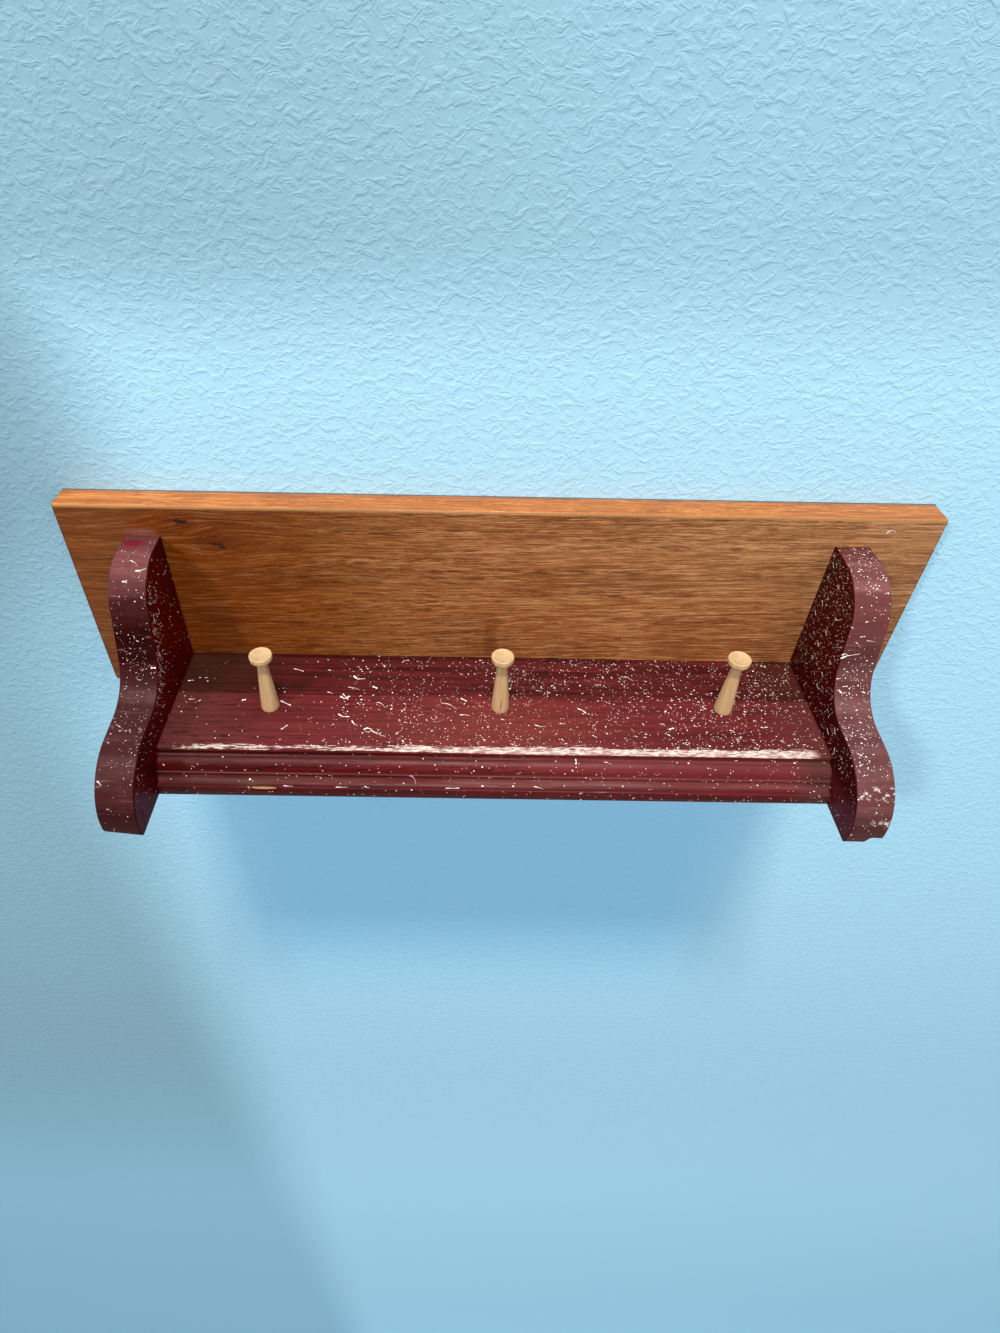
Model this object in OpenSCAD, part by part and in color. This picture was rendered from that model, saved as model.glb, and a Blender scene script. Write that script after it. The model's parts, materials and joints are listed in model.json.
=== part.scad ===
// Wall plate rack: an oak board that lies flat on the wall, a moulded shelf
// along its foot, two sawn brackets and three turned pegs that keep plates
// from sliding off the shelf.
// Frame: the wall is the plane y = 0, +y goes into the wall, +x is to the
// right as seen from the room, +z is up. The origin lies on the wall, midway
// between the two keyholes. Sizes are in millimetres.

/* [Back board] */
// Length of the back board
board_w = 610; // [560:5:700]
// Height of the back board
board_h = 165; // [160:1:185]
// Thickness of the back board
board_t = 19.5; // [18:0.5:25]
// Width of the chamfer that eases the board's edges
board_ease = 1.2; // [0.4:0.2:2.4]
// Height of the board's top edge above the keyholes
board_top = 35; // [30:1:50]

/* [Shelf] */
// Distance between the inner faces of the brackets, which is the shelf's length
shelf_w = 470; // [460:2:490]
// Thickness of the shelf
shelf_t = 30.5; // [29:0.5:34]
// Depth of the flat top of the shelf, from the back board to its worn edge
shelf_top_d = 97.3; // [80:0.1:110]
// Sideways offset of the shelf and brackets from the board's middle
shelf_dx = -1; // [-6:0.5:6]
// Height of the upright strip under the worn edge
quirk_h = 5.6; // [3:0.2:6.4]
// Radius of the moulding's rounded member
ovolo_r = 7.8; // [5:0.2:8.4]
// Radius of the moulding's hollow member
cove_r = 5; // [3:0.2:5.6]

/* [Brackets] */
// Thickness of the brackets
bracket_t = 25; // [20:0.5:30]
// Height of the brackets' top above the shelf, left and right
bracket_rise = [109, 110.5]; // [95:0.5:118]
// Reach of the upper corner before rounding, left and right
bracket_head = [41, 49.5]; // [36:0.5:52]
// Reach of the waist corner before rounding, left and right
bracket_waist = [66, 64.5]; // [58:0.5:72]
// Reach of the foot, left and right
bracket_foot = [150, 146.3]; // [142:0.1:160]
// Rounding of the upper corner, the waist and the foot
bracket_r = [34, 35, 44]; // [28:1:44]

/* [Pegs] */
// Sideways places of the pegs from the board's middle
peg_x = [-164.5, 3.5, 168]; // [-200:0.5:200]
// Distances of the pegs from the back board's face
peg_out = [57, 54.5, 53]; // [40:0.5:75]
// Radius of a peg at its foot
peg_foot_r = 6.6; // [5.5:0.05:8]
// Radius of a peg's neck
peg_neck_r = 3.6; // [3:0.05:4.2]
// Radius of a peg's head
peg_head_r = 7.95; // [6.5:0.05:10]
// Height of a peg above the shelf
peg_h = 53; // [44:0.5:64]
// Radius of the tenon that is glued into the shelf
tenon_r = 4.75; // [4:0.05:5.25]
// Length of the tenon
tenon_l = 12.7; // [10:0.1:18]

/* [Screws and plugs] */
// Length of the screws that hold the back board
board_screw_l = 38; // [32:1:40]
// Length of the screws that hold the shelf between the brackets
bracket_screw_l = 45; // [40:1:60]
// Depth of the counterbore over the bracket screws
plug_depth = 8; // [5:0.5:10]
// Radius of the wooden plugs
plug_r = 4.75; // [4.4:0.05:6]

/* [Hangers] */
// Distance between the two keyholes
hanger_spacing = 406.4; // [300:0.1:420]
// Length of a hanger plate
hanger_l = 46; // [44:1:50]
// Width of a hanger plate
hanger_w = 16; // [15:0.5:20]
// Thickness of a hanger plate
hanger_t = 2; // [1.5:0.1:2.5]
// Radius of the keyhole's round entry
key_r = 5; // [4.5:0.1:5.6]
// Width of the keyhole's slot
key_slot_w = 4.6; // [4.2:0.1:5]
// Rise from the round entry to the end of the slot
key_rise = 9; // [7:0.5:10]

/* [Hidden] */
$fn = 64;

// height of the shelf's top face and of the rack's underside
shelf_z = board_top - board_h + shelf_t;
under_z = board_top - board_h;
// the three small ledges of the moulding and the step between its members
ledge = [1.3, 1.5, 1.5];
step_h = 2.6;
// the middle of the hanger plate above the keyhole, and its screws' reach
plate_dz = 3.5;
plate_screw = hanger_l / 2 - 5.5;
pocket_r = key_r + 1.5;
pocket_d = 11;
// screw sizes: head radius, shank radius, root radius
wood_screw = [4.2, 2.1, 1.5];
small_screw = [3.5, 1.75, 1.25];

oak_colour = [0.50, 0.28, 0.11];
paint_colour = [0.36, 0.09, 0.12];
peg_colour = [0.80, 0.62, 0.40];
steel_colour = [0.66, 0.66, 0.64];

// places of the board screws: four in the brackets, three in the shelf
function board_screw_at() = concat(
    [for (s = [-1, 1], u = [10, 84])
        [shelf_dx + s * (shelf_w + bracket_t) / 2, shelf_z + u]],
    [for (k = [-1, 0, 1]) [k * shelf_w * 0.34, shelf_z - shelf_t / 2]]);

// places of the bracket screws, as distances from the back board's face
bracket_screw_out = [28, 80];

// points on an arc about c, from angle a0 to a1
function arc(c, r, a0, a1, n) =
    [for (i = [0:n]) let(a = a0 + (a1 - a0) * i / n)
        [c[0] + r * cos(a), c[1] + r * sin(a)]];

function unit(v) = v / norm(v);

// the corner p between the points a and b, rounded with radius r
function rounded(a, p, b, r, n) =
    r <= 0 ? [p] :
    let(u = unit(a - p), v = unit(b - p),
        h = acos(u * v) / 2,
        q = p + unit(u + v) * (r / sin(h)),
        s = p + u * (r / tan(h)) - q,
        e = p + v * (r / tan(h)) - q,
        a0 = atan2(s[1], s[0]),
        turn = atan2(s[0] * e[1] - s[1] * e[0], s * e))
    arc(q, r, a0, a0 + turn, n);

// a closed outline from corners and one radius for each
function outline(p, r, n) =
    [for (i = [0:len(p) - 1])
        each rounded(p[(i + len(p) - 1) % len(p)], p[i],
                     p[(i + 1) % len(p)], r[i], n)];

// an outline drawn as (distance from the wall side, height), run along x
module along_x(len) {
    rotate([90, 0, -90]) linear_extrude(height = len, center = true) children();
}

// turned parts and drilled holes: z of the child runs out of the wall
module out_of_wall() { rotate([90, 0, 0]) children(); }

// flat-head wood screw, head at z = 0, pointing to -z
module screw(len, size, thread) {
    rh = size[0]; rs = size[1]; rc = size[2];
    head = rh - rs;
    tip = 5;
    pitch = 2.4;
    turns = floor((thread - tip) / pitch);
    z0 = -(len - tip);
    difference() {
        rotate_extrude($fn = 48) polygon(concat(
            [[0, 0], [rh, 0], [rh, -0.4], [rs, -0.4 - head],
             [rs, z0 + turns * pitch + 0.6]],
            [for (i = [turns - 1:-1:0])
                each [[rc, z0 + i * pitch + pitch * 0.75],
                      [rs, z0 + i * pitch + pitch * 0.15]]],
            [[rc, z0 - 0.4], [0, -len]]));
        for (a = [0, 90]) rotate([0, 0, a])
            translate([-rh * 0.55, -0.55, -rh * 0.42])
                cube([rh * 1.1, 1.1, rh]);
    }
}

// the space that such a screw fills, for the holes in the wood
module screw_space(len, size) {
    rh = size[0]; rs = size[1];
    head = rh - rs;
    rotate_extrude($fn = 48) polygon(
        [[0, 0.01], [rh, 0.01], [rh, -0.4], [rs, -0.4 - head],
         [rs, -(len - 5)], [0, -len]]);
}

module board_screw_spaces() {
    for (p = board_screw_at()) translate([p[0], 0, p[1]])
        rotate([-90, 0, 0]) screw_space(board_screw_l, wood_screw);
}

// both brackets' screws, each placed with its head inwards of the plug
module at_bracket_screws() {
    for (s = [-1, 1], o = bracket_screw_out)
        translate([shelf_dx + s * (shelf_w / 2 + bracket_t - plug_depth),
                   -board_t - o, shelf_z - shelf_t / 2])
            rotate([0, s * 90, 0]) children();
}

module at_hangers() {
    for (s = [-1, 1]) translate([s * hanger_spacing / 2, 0, 0]) children();
}

// outline of a hanger plate, seen from the wall side
module plate_outline(grow) {
    r = hanger_w / 2 + grow;
    half = hanger_l / 2 - hanger_w / 2;
    translate([0, plate_dz]) {
        translate([0, half]) circle(r, $fn = 64);
        translate([0, -half]) circle(r, $fn = 64);
        square([2 * r, 2 * half], center = true);
    }
}

// a keyhole: round entry with a slot rising from it
module keyhole(r, half_w, rise) {
    circle(r, $fn = 64);
    translate([0, rise]) circle(half_w, $fn = 48);
    translate([-half_w, 0]) square([2 * half_w, rise]);
}

// an outline in (x, z) cut into the wood from y = 0 to the given depth
module from_wall(depth) {
    rotate([90, 0, 0]) linear_extrude(height = depth) children();
}

module back_board() {
    color(oak_colour) difference() {
        board_blank();
        board_screw_spaces();
        at_hangers() {
            translate([0, 1, 0]) from_wall(1 + hanger_t) plate_outline(0.3);
            translate([0, 0.5, 0]) from_wall(0.5 + pocket_d)
                keyhole(pocket_r, pocket_r, key_rise);
            for (s = [-1, 1]) translate([0, 0, plate_dz + s * plate_screw])
                rotate([-90, 0, 0]) screw_space(16, small_screw);
        }
    }
}

// the board with all its edges eased
module board_blank() {
    e = board_ease; w = board_w; h = board_h; t = board_t;
    translate([0, -t / 2, board_top - h / 2]) intersection() {
        linear_extrude(height = h, center = true) eased(w, t, e);
        rotate([90, 0, 0]) linear_extrude(height = t, center = true)
            eased(w, h, e * 1.5);
        rotate([0, 90, 0]) linear_extrude(height = w, center = true)
            eased(h, t, e);
    }
}

// rectangle with its corners cut at 45 degrees
module eased(a, b, e) {
    polygon([[-a / 2 + e, -b / 2], [a / 2 - e, -b / 2], [a / 2, -b / 2 + e],
             [a / 2, b / 2 - e], [a / 2 - e, b / 2], [-a / 2 + e, b / 2],
             [-a / 2, b / 2 - e], [-a / 2, -b / 2 + e]]);
}

// end view of the shelf: flat top, worn edge, upright strip, rounded member,
// step, hollow member and the upright face at the foot
function shelf_outline() =
    let(d = shelf_top_d, o1 = d + ledge[0], z1 = -quirk_h,
        o2 = o1 + ovolo_r + ledge[1], z2 = z1 - ovolo_r,
        z3 = z2 - step_h, o4 = o2 + cove_r, z4 = z3 - cove_r,
        o5 = o4 + ledge[2], z5 = z4 - 0.2)
    concat([[0, -shelf_t], [0, 0]],
        arc([d - 1.2, -1.2], 1.2, 90, 0, 4),
        [[d, z1]],
        arc([o1, z1 - ovolo_r], ovolo_r, 90, 0, 12),
        [[o2, z2], [o2, z3]],
        [for (p = arc([o4, z3], cove_r, 180, 270, 10)) p],
        [[o5, z4], [o5 + 0.1, z5], [o5 + 0.1, -shelf_t]]);

module shelf() {
    color(paint_colour) difference() {
        translate([shelf_dx, -board_t, shelf_z])
            along_x(shelf_w) polygon(shelf_outline());
        board_screw_spaces();
        at_bracket_screws() screw_space(bracket_screw_l, wood_screw);
        for (i = [0:2]) translate([peg_x[i], -board_t - peg_out[i],
                                   shelf_z - tenon_l])
            cylinder(h = tenon_l + 1, r = tenon_r, $fn = 64);
    }
}

// side view of a bracket, k = 0 for the left one and 1 for the right one
function bracket_outline(k) = outline(
    [[0, -shelf_t], [0, bracket_rise[k]],
     [bracket_head[k], bracket_rise[k]],
     [bracket_waist[k], 23.5], [bracket_foot[k], 19.5],
     [bracket_foot[k], -shelf_t]],
    [0, 0, bracket_r[0], bracket_r[1], bracket_r[2], 0], 16);

module bracket(k) {
    s = 2 * k - 1;
    difference() {
        translate([shelf_dx + s * (shelf_w + bracket_t) / 2, -board_t, shelf_z])
            along_x(bracket_t) polygon(bracket_outline(k));
        board_screw_spaces();
        at_bracket_screws() {
            screw_space(bracket_screw_l, wood_screw);
            cylinder(h = plug_depth + 1, r = plug_r, $fn = 64);
        }
    }
}

module left_bracket() { color(paint_colour) bracket(0); }
module right_bracket() { color(paint_colour) bracket(1); }

// a turned peg: tenon, tapering stem, collar and mushroom head
module peg(i) {
    h = peg_h; f = peg_foot_r; n = peg_neck_r; r = peg_head_r;
    translate([peg_x[i], -board_t - peg_out[i], shelf_z])
        rotate_extrude($fn = 72) polygon(concat(
            [[0, -tenon_l], [tenon_r - 0.6, -tenon_l],
             [tenon_r, -tenon_l + 0.6], [tenon_r, 0], [f - 0.7, 0]],
            arc([f - 0.7, 0.7], 0.7, -90, 0, 3),
            [[f - 0.05, 2.5], [n + 0.1, h - 12], [n, h - 10.6],
             [n + 0.25, h - 9.7]],
            arc([n + 0.15, h - 8.9], 0.8, -60, 60, 4),
            [[n + 1.4, h - 7.6], [r - 1.7, h - 5.9]],
            arc([r - 1.3, h - 4.6], 1.3, -50, 0, 4),
            [[r, h - 3.7]],
            arc([r - 1.6, h - 3.7], 1.6, 12, 60, 4),
            [[r - 2, h - 1.4], [r - 3.6, h - 0.65], [r - 5.4, h - 0.2],
             [0, h]]));
}

module peg_left() { color(peg_colour) peg(0); }
module peg_centre() { color(peg_colour) peg(1); }
module peg_right() { color(peg_colour) peg(2); }

module board_screws() {
    color(steel_colour) for (p = board_screw_at())
        translate([p[0], 0, p[1]]) rotate([-90, 0, 0])
            screw(board_screw_l, wood_screw, 24);
}

module bracket_screws() {
    color(steel_colour) at_bracket_screws()
        screw(bracket_screw_l, wood_screw, 30);
}

// plugs over the bracket screws, standing a little proud of the wood
module screw_plugs() {
    color(paint_colour) at_bracket_screws() rotate_extrude($fn = 64)
        polygon([[0, 0], [plug_r, 0], [plug_r, plug_depth],
                 [plug_r - 0.4, plug_depth + 0.3], [0, plug_depth + 0.4]]);
}

// flush keyhole plate with two countersunk holes
module hanger(s) {
    translate([s * hanger_spacing / 2, 0, 0]) difference() {
        from_wall(hanger_t) plate_outline(0);
        translate([0, 1, 0]) from_wall(hanger_t + 2)
            keyhole(key_r, key_slot_w / 2, key_rise);
        for (t = [-1, 1]) translate([0, 0, plate_dz + t * plate_screw])
            rotate([-90, 0, 0]) screw_space(16, small_screw);
    }
}

module left_hanger() { color(steel_colour) hanger(-1); }
module right_hanger() { color(steel_colour) hanger(1); }

module hanger_screws() {
    color(steel_colour) at_hangers() for (s = [-1, 1])
        translate([0, 0, plate_dz + s * plate_screw])
            rotate([-90, 0, 0]) screw(16, small_screw, 12);
}

back_board();
shelf();
left_bracket();
right_bracket();
peg_left();
peg_centre();
peg_right();
board_screws();
bracket_screws();
screw_plugs();
left_hanger();
right_hanger();
hanger_screws();
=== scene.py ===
import json
import math
import random
import bpy
import numpy as np
from mathutils import Matrix, Vector, noise

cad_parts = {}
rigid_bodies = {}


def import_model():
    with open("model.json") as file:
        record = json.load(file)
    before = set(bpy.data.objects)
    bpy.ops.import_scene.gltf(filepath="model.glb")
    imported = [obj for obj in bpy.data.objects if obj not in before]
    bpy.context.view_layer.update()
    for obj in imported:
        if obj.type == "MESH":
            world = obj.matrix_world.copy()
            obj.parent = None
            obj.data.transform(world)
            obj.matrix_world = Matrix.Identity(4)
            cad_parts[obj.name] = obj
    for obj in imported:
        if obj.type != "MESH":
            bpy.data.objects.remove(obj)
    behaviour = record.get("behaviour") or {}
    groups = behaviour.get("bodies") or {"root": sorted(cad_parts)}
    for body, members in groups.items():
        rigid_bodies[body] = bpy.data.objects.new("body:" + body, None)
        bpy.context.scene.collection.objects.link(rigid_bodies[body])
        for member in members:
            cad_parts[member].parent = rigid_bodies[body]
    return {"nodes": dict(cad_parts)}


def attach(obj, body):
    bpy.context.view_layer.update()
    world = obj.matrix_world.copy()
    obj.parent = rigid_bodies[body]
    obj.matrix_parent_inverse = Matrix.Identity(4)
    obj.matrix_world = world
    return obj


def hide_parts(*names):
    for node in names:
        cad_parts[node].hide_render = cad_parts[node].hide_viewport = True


for old in list(bpy.data.objects):
    bpy.data.objects.remove(old, do_unlink=True)
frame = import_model()
scene = bpy.context.scene
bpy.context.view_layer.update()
rng = random.Random(7)
MM = 0.001

# ---------------------------------------------------------------- the frame
# y = 0 is the wall and +y goes into it; OUT is measured from the back board's
# front face towards the room, UP from the shelf's top face.
BOARD_T = 19.5
SHELF_Z = -99.5
UNDER = -30.5
DX = -1.0
SPAN = 470.0
BRACKET_T = 25.0
PEGS = {"peg_left": (-164.5, 57.0), "peg_centre": (3.5, 54.5),
        "peg_right": (168.0, 53.0)}


def at(x, out, up):
    """Millimetres (x, out, up) to a point of the frame in metres."""
    return Vector((x * MM, (-BOARD_T - out) * MM, (SHELF_Z + up) * MM))


# ------------------------------------------------------------ camera, light
cam_data = bpy.data.cameras.new("camera")
cam = bpy.data.objects.new("camera", cam_data)
scene.collection.objects.link(cam)
CX = Vector((0.99982916, 0.00491367, 0.01781849))
CY = Vector((-0.01670127, 0.65318167, 0.75701703))
CZ = Vector((-0.00791898, -0.75718529, 0.65314215))
CP = Vector((-0.02870, -0.47296, 0.31807))
cam.matrix_world = Matrix(((CX.x, CY.x, CZ.x, CP.x), (CX.y, CY.y, CZ.y, CP.y),
                           (CX.z, CY.z, CZ.z, CP.z), (0, 0, 0, 1)))
cam_data.sensor_width = 36.0
cam_data.lens = 21.092
cam_data.shift_x = 0.0272
cam_data.shift_y = -0.0262
cam_data.clip_start = 0.01
cam_data.clip_end = 60
scene.camera = cam


def area(name, loc, target, sx, sy, watts, colour=(1, 1, 1)):
    data = bpy.data.lights.new(name, "AREA")
    data.shape = "RECTANGLE"
    data.size, data.size_y, data.energy, data.color = sx, sy, watts, colour
    ob = bpy.data.objects.new(name, data)
    scene.collection.objects.link(ob)
    ob.location = loc
    ob.rotation_euler = (Vector(target) - Vector(loc)).to_track_quat(
        "-Z", "Y").to_euler()
    return ob


area("key", (-0.10, -1.12, 3.20), (0, -0.05, -0.10), 0.55, 0.30, 110, (1.0, 0.975, 0.94))
area("window", (-2.75, -3.20, 2.95), (-0.1, -0.05, -0.05), 0.45, 0.45, 88,
     (1.0, 0.98, 0.95))
fill = area("fill", (1.25, -2.3, 0.55), (0, 0, -0.1), 1.3, 1.0, 13, (1.0, 0.97, 0.94))
fill.visible_glossy = False
area("behind", (0.2, 2.2, 0.9), (0, 0, 0), 2.0, 1.6, 30, (1.0, 0.98, 0.96))
world = bpy.data.worlds.new("studio")
scene.world = world
world.use_nodes = True
world.node_tree.nodes["Background"].inputs[0].default_value = (0.93, 0.96, 1.0, 1)
world.node_tree.nodes["Background"].inputs[1].default_value = 0.20
scene.view_settings.view_transform = "Standard"
scene.view_settings.look = "None"


# ------------------------------------------------------------ shader helper
class Tree:
    """Short names for the nodes of one material."""

    def __init__(self, name):
        self.mat = bpy.data.materials.new(name)
        self.mat.use_nodes = True
        self.nt = self.mat.node_tree
        self.nt.nodes.clear()
        out = self.nt.nodes.new("ShaderNodeOutputMaterial")
        self.bsdf = self.nt.nodes.new("ShaderNodeBsdfPrincipled")
        self.nt.links.new(self.bsdf.outputs[0], out.inputs[0])
        tc = self.nt.nodes.new("ShaderNodeTexCoord")
        self.p = tc.outputs["Object"]
        sep = self.nt.nodes.new("ShaderNodeSeparateXYZ")
        self.nt.links.new(self.p, sep.inputs[0])
        self.x, self.y, self.z = sep.outputs

    def put(self, sock, v):
        if isinstance(v, bpy.types.NodeSocket):
            self.nt.links.new(v, sock)
        elif isinstance(v, (tuple, list)):
            v = list(v)
            if sock.type == "RGBA" and len(v) == 3:
                v.append(1.0)
            sock.default_value = v
        else:
            sock.default_value = v

    def m(self, op, a, b=None, c=None, clamp=False):
        n = self.nt.nodes.new("ShaderNodeMath")
        n.operation = op
        n.use_clamp = clamp
        for i, v in enumerate((a, b, c)):
            if v is not None:
                self.put(n.inputs[i], v)
        return n.outputs[0]

    def add(self, *v):
        s = v[0]
        for k in v[1:]:
            s = self.m("ADD", s, k)
        return s

    def mul(self, *v):
        s = v[0]
        for k in v[1:]:
            s = self.m("MULTIPLY", s, k)
        return s

    def sub(self, a, b):
        return self.m("SUBTRACT", a, b)

    def vec(self, x, y, z):
        n = self.nt.nodes.new("ShaderNodeCombineXYZ")
        for i, v in enumerate((x, y, z)):
            self.put(n.inputs[i], v)
        return n.outputs[0]

    def noise(self, vec, scale=1.0, detail=3.0, rough=0.55, dist=0.0):
        n = self.nt.nodes.new("ShaderNodeTexNoise")
        self.put(n.inputs["Vector"], vec)
        n.inputs["Scale"].default_value = scale
        n.inputs["Detail"].default_value = detail
        n.inputs["Roughness"].default_value = rough
        n.inputs["Distortion"].default_value = dist
        return n.outputs[0]

    def cells(self, vec, scale=1.0, rand=1.0):
        n = self.nt.nodes.new("ShaderNodeTexVoronoi")
        self.put(n.inputs["Vector"], vec)
        n.inputs["Scale"].default_value = scale
        n.inputs["Randomness"].default_value = rand
        sep = self.nt.nodes.new("ShaderNodeSeparateColor")
        self.nt.links.new(n.outputs["Color"], sep.inputs[0])
        return n.outputs["Distance"], sep.outputs

    def map(self, v, a, b, c=0.0, d=1.0, smooth=True):
        n = self.nt.nodes.new("ShaderNodeMapRange")
        n.interpolation_type = "SMOOTHSTEP" if smooth else "LINEAR"
        n.clamp = True
        self.put(n.inputs["Value"], v)
        for k, s in (("From Min", a), ("From Max", b), ("To Min", c),
                     ("To Max", d)):
            self.put(n.inputs[k], s)
        return n.outputs[0]

    def ramp(self, fac, stops):
        n = self.nt.nodes.new("ShaderNodeValToRGB")
        self.put(n.inputs[0], fac)
        e = n.color_ramp.elements
        while len(e) > 1:
            e.remove(e[-1])
        e[0].position, e[0].color = stops[0][0], (*stops[0][1], 1)
        for pos, col in stops[1:]:
            k = e.new(pos)
            k.color = (*col, 1)
        return n.outputs[0]

    def mix(self, fac, a, b, mode="MIX"):
        n = self.nt.nodes.new("ShaderNodeMix")
        n.data_type = "RGBA"
        n.blend_type = mode
        n.clamp_factor = True
        self.put(n.inputs[0], fac)
        self.put(n.inputs[6], a)
        self.put(n.inputs[7], b)
        return n.outputs[2]

    def bump(self, height, distance, strength=1.0, normal=None):
        n = self.nt.nodes.new("ShaderNodeBump")
        n.inputs["Strength"].default_value = strength
        n.inputs["Distance"].default_value = distance
        self.put(n.inputs["Height"], height)
        if normal is not None:
            self.nt.links.new(normal, n.inputs["Normal"])
        return n.outputs[0]

    def set(self, **kw):
        for k, v in kw.items():
            self.put(self.bsdf.inputs[k.replace("_", " ")], v)
        return self.mat

    def blob(self, x0, z0, rx, rz, hard=0.35, tilt=0.0, a=None, b=None):
        """Soft ellipse, 1 inside, in two of the coordinates (metres)."""
        a = self.x if a is None else a
        b = self.z if b is None else b
        u = self.sub(a, x0)
        v = self.sub(b, z0)
        c, s = math.cos(tilt), math.sin(tilt)
        uu = self.m("DIVIDE", self.add(self.mul(u, c), self.mul(v, s)), rx)
        vv = self.m("DIVIDE", self.sub(self.mul(v, c), self.mul(u, s)), rz)
        d = self.m("SQRT", self.add(self.mul(uu, uu), self.mul(vv, vv)))
        return self.map(d, 1.0, 1.0 - hard, 0.0, 1.0)


# ---------------------------------------------------------------- materials
def oak_material():
    t = Tree("oak_stained")
    x, y, z = t.x, t.y, t.z
    # slow waves of the grain, and the grain parting round the two knots
    calm = t.map(x, -0.17, -0.03, 1.0, 0.42)
    wave = t.noise(t.vec(t.mul(x, 2.2), t.mul(y, 4.0), t.mul(z, 4.5)), 1.0, 2.0)
    ripple = t.noise(t.vec(t.mul(x, 12), t.mul(y, 20), t.mul(z, 26)), 1.0, 2.0)
    zz = t.add(z, t.mul(t.sub(wave, 0.5), calm, 0.034),
               t.mul(t.sub(ripple, 0.5), calm, 0.007), t.mul(x, -0.02))
    for kx, kz, ax, az, amp in ((-0.2015, 0.0050, 0.046, 0.019, 0.86),
                                (-0.2200, 0.0215, 0.026, 0.010, 0.80),
                                (-0.1150, -0.0480, 0.070, 0.016, 0.45),
                                (0.1050, -0.0100, 0.110, 0.014, 0.25)):
        u = t.m("DIVIDE", t.sub(x, kx), ax)
        v = t.m("DIVIDE", t.sub(z, kz), az)
        w = t.m("POWER", 2.718, t.mul(t.add(t.mul(u, u), t.mul(v, v)), -1.0))
        zz = t.sub(zz, t.mul(t.mul(t.sub(z, kz), w), amp))
    yy = t.mul(y, 1.0)
    broad = t.noise(t.vec(t.mul(x, 1.6), t.mul(yy, 30), t.mul(zz, 42)), 1.0, 3.0, 0.55)
    bands = t.noise(t.vec(t.mul(x, 4.0), t.mul(yy, 150), t.mul(zz, 260)), 1.0, 4.0, 0.6)
    fine = t.noise(t.vec(t.mul(x, 24), t.mul(yy, 500), t.mul(zz, 900)), 1.0, 3.0, 0.6)
    pore_a = t.noise(t.vec(t.mul(x, 92), t.mul(yy, 900), t.mul(zz, 780)), 1.0, 2.0, 0.6)
    pore_b = t.noise(t.vec(t.mul(x, 160), t.mul(yy, 1300), t.mul(zz, 1350)), 1.0, 2.0, 0.6)
    zone = t.map(bands, 0.42, 0.58)
    smooth = t.map(x, -0.24, -0.10, 0.40, 1.0)
    pores = t.m("MAXIMUM",
                t.mul(t.map(pore_a, 0.50, 0.58), t.add(t.mul(zone, 0.70), 0.30)),
                t.mul(t.map(pore_b, 0.50, 0.58), t.add(t.mul(zone, 0.40), 0.35)))
    pores = t.mul(pores, smooth)
    thread = t.noise(t.vec(t.mul(x, 38), t.mul(yy, 900), t.mul(zz, 1150)), 1.0, 2.0, 0.7)
    tone = t.add(t.mul(broad, 0.42), t.mul(bands, 0.34), t.mul(fine, 0.40), -0.07)
    col = t.ramp(tone, [(0.24, (0.180, 0.052, 0.010)), (0.40, (0.330, 0.108, 0.022)),
                        (0.52, (0.450, 0.165, 0.038)), (0.62, (0.550, 0.228, 0.062)),
                        (0.80, (0.660, 0.320, 0.110))])
    # redder and darker to the left; the paler upper right is a painted sheen
    left = t.map(x, -0.02, -0.24, 0.0, 1.0)
    col = t.mix(t.mul(left, 0.92), col, (0.53, 0.34, 0.05), "MULTIPLY")
    # painted shadow of the left bracket, cast on the board to its right
    bracket_shadow = t.mul(t.map(x, -0.100, -0.150), t.map(x, -0.262, -0.225))
    col = t.mix(t.mul(bracket_shadow, 0.90), col, (0.82, 0.64, 0.16), "MULTIPLY")
    col = t.mix(t.map(x, -0.16, 0.0, 0.0, 0.85), col, (1.0, 1.0, 1.35), "MULTIPLY")
    # painted sheen over the upper right of the board
    right = t.mul(t.map(x, 0.0, 0.27), t.map(z, -0.10, 0.03))
    col = t.mix(t.mul(right, 0.36), col, (0.54, 0.32, 0.15))
    # broad dark streaks near the left end
    for sx, sz, rx, rz, a in ((-0.290, -0.004, 0.060, 0.0030, 0.75),
                              (-0.285, -0.023, 0.055, 0.0022, 0.60),
                              (-0.300, -0.069, 0.040, 0.0040, 0.70),
                              (-0.296, -0.094, 0.035, 0.0030, 0.60),
                              (-0.160, -0.027, 0.045, 0.0016, 0.55),
                              (0.300, 0.0155, 0.010, 0.0010, 0.80)):
        s = t.blob(sx, sz, rx, rz, 0.95, 0.0, x, zz)
        s = t.mul(s, t.map(fine, 0.30, 0.62))
        col = t.mix(t.mul(s, a), col, (0.30, 0.20, 0.14), "MULTIPLY")
    # pores, dark with stain
    lines = t.map(thread, 0.50, 0.62)
    col = t.mix(t.mul(lines, smooth, 0.55), col, (0.45, 0.34, 0.24), "MULTIPLY")
    col = t.mix(t.mul(pores, t.map(x, 0.02, 0.20, 0.86, 0.70)), col, (0.36, 0.25, 0.17),
                "MULTIPLY")
    glint = t.mul(t.map(thread, 0.47, 0.36), t.map(x, -0.14, 0.02, 0.35, 1.0))
    col = t.mix(t.mul(glint, 0.46), col, (0.84, 0.46, 0.21))
    # paler and greyer towards the right end: painted sheen
    col = t.mix(t.map(x, 0.04, 0.20), col, (1.10, 1.12, 1.16), "MULTIPLY")
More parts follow.
